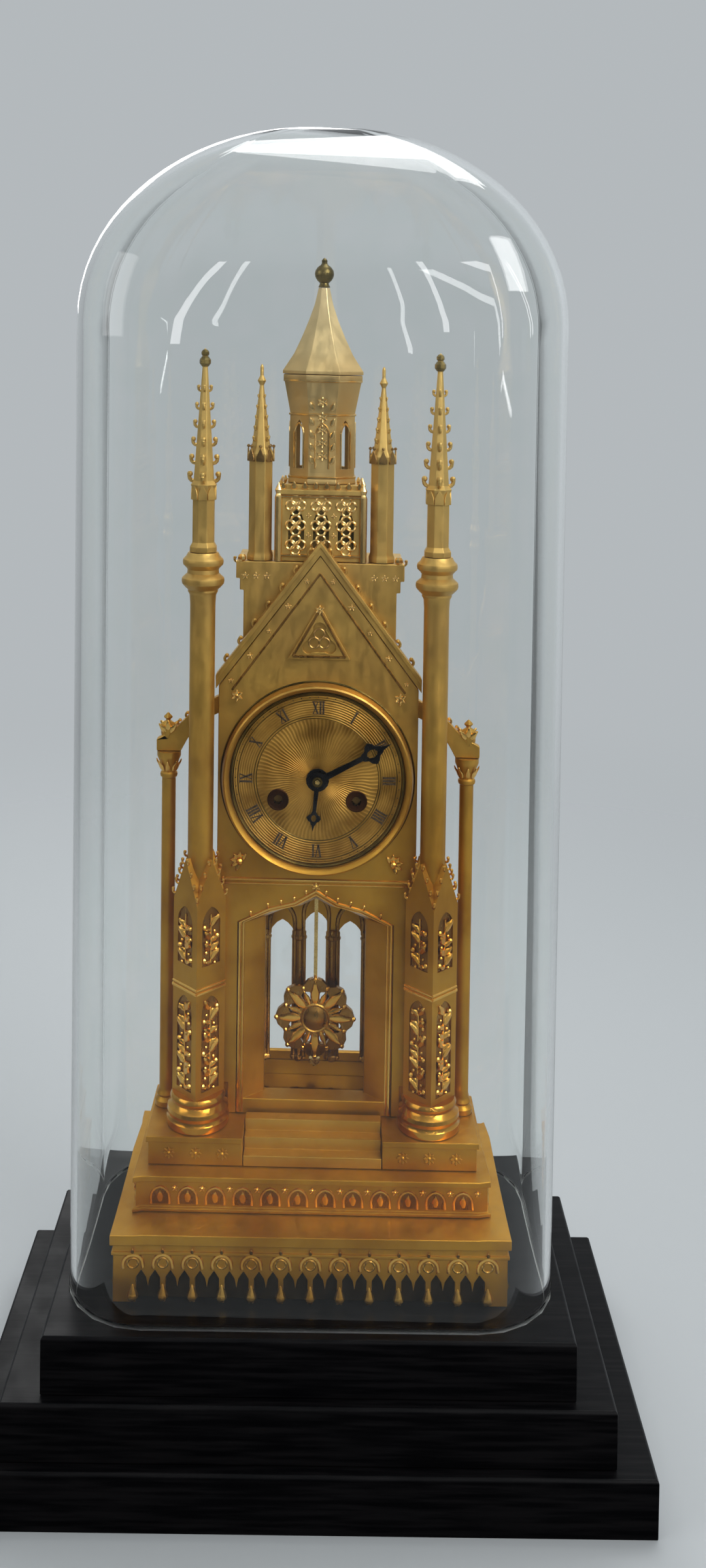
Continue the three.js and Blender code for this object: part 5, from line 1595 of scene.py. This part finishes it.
    def doorway_carving(self) -> None:
        """Moulded arch with knobs over the doorway, string course and spandrel leaves."""
        wall = NodeBox.of("facade").low.y
        portal = NodeBox.of("doorway_portal")
        bezel = NodeBox.of("bezel")
        front = portal.low.y
        half = portal.half.x
        spring = portal.high.z - self.head_rise
        carving = Casting()
        for inset, radius in self.rolls:
            rise = self.head_rise - inset
            right = [(half - inset, portal.low.z + 1)]
            right += [((half - inset) * x, spring + rise * z) for x, z in self.head_shape]
            left = [(-x, z) for x, z in reversed(right[:-1])]
            carving.join(Casting.bar([(x, front, z) for x, z in right + left], radius))
        for drop, radius in self.string_rolls:
            ends = [(hand * (half + 8), wall, bezel.low.z - drop) for hand in HANDS]
            carving.join(Casting.bar(ends, radius))
        carving.attach(rosette(2.6, 6), (0, front - 0.4, portal.high.z + 1.6))
        knob = crocket(1.3)
        blade = leaf(5.4, 3.2, 1.8)
        for side in Side:
            for x, z in self.knob_spots:
                at = (side.value * half * x, front - 0.4, spring + self.head_rise * z)
                carving.attach(knob, at, (0, -1, 0.2))
            heart = Vector((side.value * self.spandrel[0], wall, bezel.low.z + self.spandrel[1]))
            for angle in self.spandrel_leaves:
                carving.attach(blade, heart, up=clock(side.value * angle))
            carving.stamp(bead(1.9), shift(heart + FRONT))
            upper = (side.value * self.upper_boss[0], wall, bezel.high.z - self.upper_boss[1])
            carving.attach(rosette(3.4, 6), upper)
        carving.deliver("doorway_carving", GLINT)

    def rear_lights(self) -> None:
        """Clustered shafts and moulded heads round the rear lights, and the polished floor before them."""
        box = NodeBox.of("rear_tracery")
        pitch = (box.size.x - 8) / self.lights
        light = pitch / 2 - 2
        foot = box.low.z + 0.6
        top = box.high.z - 20
        front = box.low.y
        shafts = Casting()
        for middle in (-1.5, -0.5, 0.5, 1.5):
            for offset, radius in self.cluster:
                x = box.middle.x + pitch * middle + offset * (0.7 if abs(middle) > 1 else 1.0)
                shafts.join(Casting.bar([(x, front, foot), (x, front, top + radius)], radius, 10))
                shafts.stamp(bead(radius * 1.35), *(shift((x, front, z)) for z in (foot + 1.2, top - 2)))
        for index in (-1, 0, 1):
            spring = box.high.z - 14 - top + (0 if index else 5)
            head = arch_bar(pointed_arch(light - 0.4, spring, light * 1.45), 1.2)
            shafts.stamp(head, shift((box.middle.x + index * pitch, front, top)))
        shafts.deliver("rear_shafts", SHADE)
        near = NodeBox.of("facade").high.y + 0.6
        level = NodeBox.of("pedestal_course").high.z
        floor = Casting.slab(box.half.x + 3, 0, self.floor_thick, front - near - 0.4)
        floor.place(shift((box.middle.x, near, level))).deliver("case_floor_plate", MIRROR)


@dataclass
class Tower:
    """Tower base, two turrets, pierced gallery, belfry, spire and finial."""

    turret_radius: float = 6.6
    cone: float = 35.0
    tip: float = 12.0
    crocket_rows: int = 5
    cornice_pitch: float = 5.6
    cornice_gap: float = 24.0
    cornice_reach: float = 42.2
    gallery_wall: float = 1.0
    foil_foot: float = 8.5
    foil_pitch: float = 10.2
    screen_rails: tuple[float, float] = (3.0, 33.5)
    post_shape: Profile = ((0, 0), (2.0, 0), (2.0, 33), (1.4, 35), (1.9, 37), (0, 41))
    crest_leaves: int = 8
    shade_core_inset: float = 4.4
    drum: float = 18.6
    belfry_arch: tuple[float, float, float] = (3.4, 18.0, 5.6)
    slit_arch: tuple[float, float, float] = (2.45, 21.0, 4.4)
    flowers: Profile = ((42.5, 2.0), (34.6, 0.4), (28.0, 0.2), (21.4, 0.2), (14.8, 0.2))
    finial_shape: Profile = (
        (0.0, 0.0), (0.64, 0.0), (0.5, 0.08), (0.46, 0.14), (0.72, 0.22), (0.93, 0.33), (1.0, 0.45),
        (0.93, 0.57), (0.7, 0.68), (0.38, 0.76), (0.28, 0.82), (0.3, 0.9), (0.18, 0.96), (0.0, 1.0),
    )

    def build(self) -> None:
        """Model the tower from its base up."""
        recast("tower_base", 0.5)
        recast("tower_gallery", 0.3)
        # Belfry and spire wear the pale gilding, painted light on the top of the tower.
        recast("belfry", 0.3, PALE)
        recast("spire", 0.25, PALE)
        for side in Side:
            self.turret(side)
        self.cornice_leaves()
        self.gallery_screens()
        self.belfry_carving()
        self.finial()

    def turret(self, side: Side) -> None:
        """Eight-sided turret with a ring of gablets and a crocketed cone.

        Args:
            side: Side of the tower that it stands on.
        """
        node = f"turret_{side.word}"
        box = NodeBox.of(node)
        r = self.turret_radius
        shaft = box.size.z - self.cone - self.tip
        tip = shaft + self.cone
        profile = [
            (0.0, 0.0), (1.1, 0.0), (1.1, 2.6), (0.98, 4.6), (0.98, shaft - 4.6), (1.1, shaft - 2.8),
            (1.1, shaft - 0.4), (0.78, shaft + 3), (0.17, tip), (0.36, tip + 2.4), (0.15, tip + 5.0),
            (0.15, tip + 9.4), (0.0, box.size.z),
        ]
        casting = Casting.turned(scaled(profile, r), steps=8, lead=FACET_LEAD).ease(0.25)
        casting.place(shift(box.foot))
        gablet = Casting.gable(2.1, 0, 2.4, 7.0, 0.9).ease(0.2)
        ring = Casting().ring(gablet, box.foot + UP * (shaft - 4.4), r * 1.08, 8)
        ring.ring(bead(0.9), box.foot + UP * (shaft + 3.4), r, 8)
        hook = crocket(1.1)
        for row in range(self.crocket_rows):
            share = (row + 0.6) / (self.crocket_rows + 0.4)
            level = box.foot + UP * (shaft + 3 + (self.cone - 5) * share)
            casting.ring(hook, level, r * (0.74 - 0.56 * share), 4, lead=45, size=1.1 - 0.4 * share)
        casting.deliver(f"{node}_cast", GILT, node)
        ring.deliver(f"turret_gablets_{side.word}", SHADE)

    def cornice_leaves(self) -> None:
        """Leaf bosses along the cornice of the tower base."""
        box = NodeBox.of("tower_base")
        row = Casting()
        motif = rosette(2.1, 5)
        level = box.high.z - 7.6
        for index in range(-7, 8):
            x = box.middle.x + index * self.cornice_pitch
            row.attach(motif, (x, box.high.y - 2.0, level), BACK)
            if abs(x) > self.cornice_gap:
                row.attach(motif, (x, box.low.y + 0.2, level))
        for side in Side:
            for index in range(-3, 4):
                y = box.middle.y + index * self.cornice_pitch
                row.attach(motif, (side.value * self.cornice_reach, y, level), side.outward)
            row.stamp(bead(2.3), shift((side.value * 41.0, box.low.y + 1.0, box.high.z + 1.6)))
            row.attach(crocket(1.5), (side.value * 43.6, box.low.y + 3, box.high.z - 1), side.outward)
        row.deliver("tower_cornice_leaves", GLINT)

    def gallery_screens(self) -> None:
        """Pierced quatrefoil screens, corner posts and a leaf crest on the gallery, with a dark core inside
        as painted shade behind them.
        """
        box = NodeBox.of("tower_gallery")
        screens = Casting()
        foil = quatrefoil(5.4, 0.62)
        stud = rosette(1.5, 4)
        crest = leaf(5.0, 3.2, 1.3)
        post = Casting.turned(self.post_shape, steps=8)
        for foot, outward, along, run in box.walls(self.gallery_wall):
            face = foot + outward * 0.3
            for row in range(3):
                for column in (-1, 0, 1):
                    at = face + along * column * run * 0.6 + UP * (self.foil_foot + row * self.foil_pitch)
                    screens.attach(foil, at, outward)
                    if column < 1:
                        between = at + along * run * 0.3 + UP * self.foil_pitch / 2
                        screens.attach(stud, between, outward)
            for level in self.screen_rails:
                screens.join(Casting.bar([face + along * run * hand + UP * level for hand in HANDS], 0.8))
            top = face - outward * 1.2 + UP * (box.size.z - 3.2)
            for index in range(self.crest_leaves):
                step = index - (self.crest_leaves - 1) / 2
                screens.attach(crest, top + along * step * run * 0.26, outward)
            screens.stamp(post, shift(face + along * run))
        screens.deliver("gallery_screens", GLINT)
        # Dark core inside the gallery: a sheet of painted shade behind the screens.
        inner = box.half - Vector((1, 1, 0)) * self.shade_core_inset
        shade_core = Casting.slab(inner.x, 1, box.size.z - 4, inner.y * 2).ease(0.4)
        shade_core.place(shift(box.foot + FRONT * inner.y)).deliver("gallery_shade_core", OLIVE)

    def belfry_carving(self) -> None:
        """Mouldings at the foot and the flare of the belfry, and carved panels on two facets."""
        axis = NodeBox.of("belfry").foot
        drum = self.drum
        flat = drum * math.cos(math.radians(FACET_LEAD))
        lying = rotation("Z", FACET_LEAD) @ rotation("X", 90)
        carving = Casting()
        for level, radius, thick in (
            (3.2, drum + 0.2, 0.8),
            (36.0, drum + 0.1, 0.7),
            (53.6, drum * 1.18, 0.8),
        ):
            carving.stamp(Casting.hoop(radius, thick, steps=8), shift(axis + UP * level) @ lying)
        arch = arch_bar(pointed_arch(*self.belfry_arch, SMALL_ARCH), 0.55)
        carving.ring(arch, axis + UP * 8.0, flat + 0.1, 8)
        plate = Casting.prism(pointed_arch(*self.slit_arch), 1.4)
        carving.ring(plate, axis + UP * 8.05, flat - 0.3, 2, lead=-90)
        flower = rosette(3.0, 6)
        blade = leaf(5.0, 2.8, 1.6)
        for level, lean in self.flowers:
            for angle in (-90, 90):
                at, outward = spoke(axis + UP * level, angle, flat + lean)
                carving.attach(flower, at, outward)
                for hand in HANDS:
                    low = at + Vector((hand * 4.6, 0, -4.4))
                    carving.attach(blade, low, outward, UP + Vector((hand * 0.4, 0, 0)))
        carving.deliver("belfry_carving", GLINT)
        # The panels' ground wears the pale gilding, painted light on the belfry.
        panel = Casting.slab(6.2, 0, 28, 0.6).ease(0.15)
        ground = Casting().ring(panel, axis + UP * 6.0, flat + 0.12, 2, lead=-90)
        ground.deliver("belfry_ground", PALE)

    def finial(self) -> None:
        """Turned ball and spike on the spire."""
        node = "spire_finial"
        box = NodeBox.of(node)
        casting = Casting.turned(scaled(self.finial_shape, box.half.x, box.size.z), steps=28)
        casting.place(shift(box.foot)).deliver("finial_ball", OLIVE, node)


@dataclass
class DialWork:
    """Dial with its hour ring, bezel, winding collars and hands."""

    bezel_width: float = 4.2
    numeral_reach: float = 37.2
    numeral_height: float = 6.6
    numeral_depth: float = 0.6
    thin_stroke: float = 0.26
    thick_stroke: float = 0.5
    serif_half: float = 0.95
    serif_thick: float = 0.14
    minute_reach: float = 42.6
    ring_reaches: tuple[float, ...] = (31.8, 33.0, 41.4, 43.8)
    ring_steps: int = 96
    line_radius: float = 0.24
    dot_radius: float = 0.34
    cup_shape: Profile = ((2.4, 0), (2.4, 0.25), (4.4, 0.25), (5.1, 0.5), (5.6, 0.25), (5.6, 0), (2.4, 0))

    @property
    def centre(self) -> Vector:
        """Middle of the dial's front face."""
        middle = NodeBox.of("bezel").middle
        return Vector((middle.x, NodeBox.of("dial").low.y, middle.z))

    def build(self) -> None:
        """Model the dial's parts from the back to the front."""
        recast("dial", 0.25, EngineTurning(tuple(self.centre * MM)), "dial_plate")
        self.bezel()
        self.rings()
        self.numerals()
        for node, body in (("hour_hand", Body.HOUR), ("minute_hand", Body.MINUTE)):
            recast(node, 0.14, BLUED, f"{node}_filed", body)
        PATINA.dress("hand_collet")

    def bezel(self) -> None:
        """Turn the bezel, with a dark ring on either side that paints the shadow line at its edge."""
        box = NodeBox.of("bezel")
        outer = box.half.x
        inner = outer - self.bezel_width
        profile = [
            (inner, 0.0), (inner, 0.55), (inner + 0.5, 0.72), (inner + 1.4, 0.9), (inner + 2.3, 1.0),
            (inner + 3.1, 0.92), (outer - 0.7, 0.68), (outer - 0.2, 0.5), (outer, 0.0), (inner, 0.0),
        ]
        turned = Casting.turned(scaled(profile, 1.0, box.size.y), steps=self.ring_steps)
        turned.place(shift((self.centre.x, box.high.y, self.centre.z)) @ rotation("X", 90))
        turned.deliver("bezel_turned", GILT, "bezel")
        fillet = Casting()
        # Dark rings at the bezel's edges: painted shadow lines.
        for radius, thick, forward in ((inner - 0.7, 0.75, 0.35), (outer + 0.35, 0.6, -2.0)):
            line = Casting.hoop(radius, thick, steps=self.ring_steps)
            fillet.stamp(line, shift(self.centre + FRONT * forward))
        fillet.deliver("bezel_shadow_lines", PATINA)

    def rings(self) -> None:
        """Engraved rings, minute dots, and dark cups round the winding squares that paint the shade of the
        winding holes.
        """
        lines = Casting()
        for reach in self.ring_reaches:
            line = Casting.hoop(reach, self.line_radius, steps=self.ring_steps, sides=5)
            lines.stamp(line, shift(self.centre))
        minutes = (shift(self.centre + clock(6 * minute) * self.minute_reach) for minute in range(60))
        lines.stamp(bead(self.dot_radius), *minutes).deliver("dial_ring_lines", PATINA)
        # Dark cups round the winding squares: painted shade of the winding holes.
        cups = Casting()
        cup = Casting.turned(self.cup_shape, steps=32).place(rotation("X", 90))
        for node in ("going_barrel", "strike_barrel"):
            middle = NodeBox.of(node).middle
            cups.stamp(cup, shift((middle.x, self.centre.y, middle.z)))
        cups.deliver("winding_hole_shades", HOLE_SHADE)

    def numerals(self) -> None:
        """Twelve Roman hours, feet towards the centre."""
        hours = ("XII", "I", "II", "III", "IIII", "V", "VI", "VII", "VIII", "IX", "X", "XI")
        letters = Casting()
        for hour, text in enumerate(hours):
            up = clock(30 * hour)
            letters.attach(self.numeral(text), self.centre + up * self.numeral_reach, up=up)
        letters.deliver("dial_hours", ENAMEL)

    def numeral(self, text: str) -> Casting:
        """One Roman hour on the origin, built of strokes.

        Args:
            text: Letters I, V and X.

        Returns:
            The raised numeral.
        """
        widths = {"I": 1.5, "V": 3.7, "X": 3.7}
        slants = {"I": ((0.0, 0.0),), "V": ((-1.3, 0.0), (1.3, 0.0)), "X": ((-1.3, 1.3), (1.3, -1.3))}
        half = self.numeral_height / 2
        numeral = Casting()
        x = -sum(widths[letter] for letter in text) / 2
        for letter in text:
            x += widths[letter] / 2
            for top, foot in slants[letter]:
                width = self.thin_stroke if top > 0 else self.thick_stroke
                low = [(foot - width, -half), (foot + width, -half)]
                high = [(top + width, half), (top - width, half)]
                numeral.stamp(Casting.prism(low + high, self.numeral_depth), shift((x, -0.3, 0)))
            serif = Casting.slab(self.serif_half, -self.serif_thick, self.serif_thick, self.numeral_depth)
            numeral.stamp(serif, *(shift((x, -0.28, level)) for level in (-half, half)))
            x += widths[letter] / 2
        return numeral


@dataclass
class Pendulum:
    """Rosette bob on its flat rod."""

    petals: int = 8
    petal_shares: tuple[Point, Point] = ((0.6, 0.24, 0.97), (0.42, 0.14, 0.8))
    petal_thick: float = 2.4
    tip_radius: float = 1.35
    boss_share: float = 0.34
    disc_depth: float = 2.1

    def build(self) -> None:
        """Ease the pierced bob and set pointed petals on it."""
        box = NodeBox.of("pendulum_bob")
        disc = Vector((box.middle.x, box.low.y + self.disc_depth, box.middle.z))
        radius = box.half.x
        recast("pendulum_bob", 0.35, SHADE, "rosette_bob", Body.PENDULUM)
        leaves = Casting()
        for index in range(self.petals * 2):
            up = clock(180 * index / self.petals)
            length, width, tip = self.petal_shares[index % 2]
            blade = leaf(radius * length, radius * width, self.petal_thick)
            leaves.attach(blade, disc + up * radius * self.boss_share, up=up)
            leaves.stamp(bead(self.tip_radius), shift(disc + up * radius * tip))
        leaves.stamp(Casting.hoop(radius * self.boss_share, 0.8, steps=32), shift(disc))
        leaves.deliver("rosette_leaves", GLINT, body=Body.PENDULUM)
        BRASS.dress("pendulum_rod", "rating_nut")
        STEEL.dress("suspension_spring")


@dataclass
class Movement:
    """Round striking movement, with its bell behind the case."""

    bell_wall: float = 1.5
    bell_bore: float = 2.3
    bell_steps: int = 12

    def build(self) -> None:
        """Finish the plates and wheels, and turn the bell smooth."""
        BRASS.dress("minute_wheel", "hour_wheel", "movement_front_plate", "movement_back_plate")
        BRASS.dress("intermediate_wheel", "centre_wheel", "third_wheel", "escape_wheel")
        BRASS.dress("suspension_bracket", "count_wheel")
        # Darker brass on the barrels: painted shade where they show through the winding holes.
        BARREL_SHADE.dress("going_barrel", "strike_barrel")
        STEEL.dress("cannon_pinion", "anchor_crutch", "bell_post", "strike_hammer")
        self.bell()

    def bell(self) -> None:
        """Shallow bell round its post."""
        box = NodeBox.of("bell")

        def shell(wall: float) -> list[tuple[float, float]]:
            """Quarter oval from the rim to the bore.

            Args:
                wall: Distance of the oval inside the box.

            Returns:
                Points of radius and depth.
            """
            turns = [math.radians(90 * step / self.bell_steps) for step in range(self.bell_steps + 1)]
            wide, deep = box.half.x - wall, box.size.y - wall
            return [(max(self.bell_bore, wide * math.cos(turn)), deep * math.sin(turn)) for turn in turns]

        outer = shell(0.0)
        casting = Casting.turned([*outer, *reversed(shell(self.bell_wall)), outer[0]], steps=64)
        casting.place(shift((box.middle.x, box.low.y, box.middle.z)) @ rotation("X", -90))
        casting.deliver("bell_turned", BRASS, "bell")


@dataclass
class Studio:
    """Pale floor, soft light and the camera at the photograph's viewing angle."""

    wall: Colour = (0.455, 0.485, 0.505)
    floor: Colour = (0.42, 0.44, 0.45)
    floor_reach: float = 1.6
    floor_fade: tuple[float, float] = (0.3, 0.95)
    light_from: tuple[float, float, float] = (0.4, 0.55, 0.72)
    room_slope: float = 0.8
    room: tuple[float, float] = (0.04, 1.3)
    aim: float = 0.33
    strips: tuple[tuple[Point, Point, float], ...] = (
        ((-0.205, -1.265, 0.561), (-0.145, -1.134, 1.139), 0.010),
        ((0.152, -1.268, 0.600), (0.112, -1.123, 1.166), 0.008),
        ((0.420, -1.190, 0.590), (0.180, -1.115, 1.171), 0.030),
        ((1.150, -0.647, 0.600), (0.700, -0.882, 1.240), 0.030),
        ((0.716, -1.096, 0.475), (0.448, -1.218, 0.528), 0.012),
    )
    strip_glow: float = 9.0
    strip_aim: float = 0.57
    image: tuple[int, int] = (1080, 2400)
    sensor: float = 36.0
    focal_px: float = 2206.2
    principal_px: tuple[float, float] = (511.5, 625.6)
    camera_at: tuple[float, float, float] = (0.0061, -0.7417, 0.5447)
    pitch: float = 2.0
    roll: float = 0.77

    def build(self) -> None:
        """Set the stage."""
        bpy.context.scene.view_settings.view_transform = "Standard"
        self.lay_floor()
        self.light_world()
        self.lamp("key_lamp", (1.0, -1.0, 1.4), 0.8, 13.0)
        self.lamp("fill_lamp", (-1.3, -0.7, 1.0), 0.9, 4.0)
        self.lamp("top_lamp", (0.25, 0.45, 1.9), 0.8, 11.0)
        self.lamp("back_lamp", (-0.5, 1.6, 1.1), 1.0, 8.0).visible_transmission = False
        for number, (low, high, width) in enumerate(self.strips):
            self.strip(f"strip_lamp_{number}", Vector(low), Vector(high), width)
        self.camera()

    def lay_floor(self) -> None:
        """Round pale floor that fades into the background at its rim."""
        floor = Casting()
        floor.circle(self.floor_reach, 96, Matrix.Identity(4), filled=True)
        thing = floor.loose("pale_floor")
        pale = bpy.data.materials.new("pale_floor")
        bench = NodeBench(pale)
        bench.shade(Base_Color=(*self.floor, 1.0), Roughness=0.7)
        start, end = (self.floor_reach * share for share in self.floor_fade)
        bench.clear(bench.spread(bench.reach(bench.coords()), 0.0, 1.0, start, end))
        thing.data.materials.append(pale)
        thing.visible_glossy = False

    def light_world(self) -> None:
        """Even pale wall for the eye and the glass; a room that is lighter above for the metal."""
        world = bpy.data.worlds.new("pale_wall")
        bpy.context.scene.world = world
        bench = NodeBench(world, "Background")
        way = bench.add("ShaderNodeTexCoord", {}).outputs["Generated"]
        slope = bench.add("ShaderNodeVectorMath", {0: way, 1: self.light_from}, operation="DOT_PRODUCT")
        ends = {1: -self.room_slope, 2: self.room_slope, 3: self.room[0], 4: self.room[1]}
        room = bench.add("ShaderNodeMapRange", {0: slope.outputs["Value"], **ends})
        path = bench.add("ShaderNodeLightPath", {}).outputs
        bounces = bench.sum("ADD", path["Diffuse Depth"], path["Glossy Depth"])
        through = bench.sum("SUBTRACT", path["Is Transmission Ray"], bounces)
        seen = bench.sum("MAXIMUM", path["Is Camera Ray"], through)
        strength = bench.add("ShaderNodeMix", {0: seen, 2: room.outputs[0], 3: 1.0})
        bench.shade(Color=(*self.wall, 1.0), Strength=strength.outputs[0])

    def lamp(self, name: str, at: Point, size: float, power: float) -> bpy.types.Object:
        """Soft square lamp.

        Args:
            name: Name of the lamp.
            at: Place of the lamp in metres.
            size: Width of the lamp.
            power: Power in watts.

        Returns:
            The lamp, aimed at the middle of the clock.
        """
        light = bpy.data.lights.new(name, "AREA")
        light.shape = "RECTANGLE"
        light.size = size
        light.size_y = size
        light.energy = power
        thing = bpy.data.objects.new(name, light)
        bpy.context.scene.collection.objects.link(thing)
        thing.location = at
        thing.rotation_euler = (UP * self.aim - Vector(at)).to_track_quat("-Z", "Y").to_euler()
        return thing

    def strip(self, name: str, low: Vector, high: Vector, width: float) -> None:
        """Slim lamp between two points, whose mirror image is a streak on the dome.

        Args:
            name: Name of the lamp.
            low: Lower end in metres.
            high: Upper end in metres.
            width: Width of the lamp.
        """
        middle = (low + high) / 2
        long = (high - low).length
        thing = self.lamp(name, middle, width, self.strip_glow * math.pi * width * long)
        thing.data.size_y = long
        up = (high - low).normalized()
        right = up.cross(middle - UP * self.strip_aim).normalized()
        thing.rotation_euler = Matrix((right, up, right.cross(up))).transposed().to_euler()

    def camera(self) -> None:
        """Camera fitted to the photograph's frame."""
        width, height = self.image
        camera = bpy.data.cameras.new("photo_camera")
        camera.sensor_width = self.sensor
        camera.lens = self.focal_px * self.sensor / height
        camera.shift_x = (width / 2 - self.principal_px[0]) / height
        camera.shift_y = -(height / 2 - self.principal_px[1]) / height
        camera.clip_start = 0.01
        thing = bpy.data.objects.new("photo_camera", camera)
        bpy.context.scene.collection.objects.link(thing)
        thing.matrix_world = shift(self.camera_at) @ rotation("X", 90 - self.pitch) @ rotation("Z", self.roll)
        bpy.context.scene.camera = thing


def main() -> None:
    """Build the clock's parts in order, then the stage."""
    logging.basicConfig(level=logging.INFO, format="%(name)s %(message)s")
    parts = [
        BlackBase(),
        Plinth(),
        *(CornerPier(side) for side in Side),
        *(SideButtress(side) for side in Side),
        ChurchFront(),
        Tower(),
        DialWork(),
        Pendulum(),
        Movement(),
        GlassDome(),
        Studio(),
    ]
    for part in parts:
        part.build()
        LOG.info("%s is done", type(part).__name__)


if __name__ == "__main__":
    main()
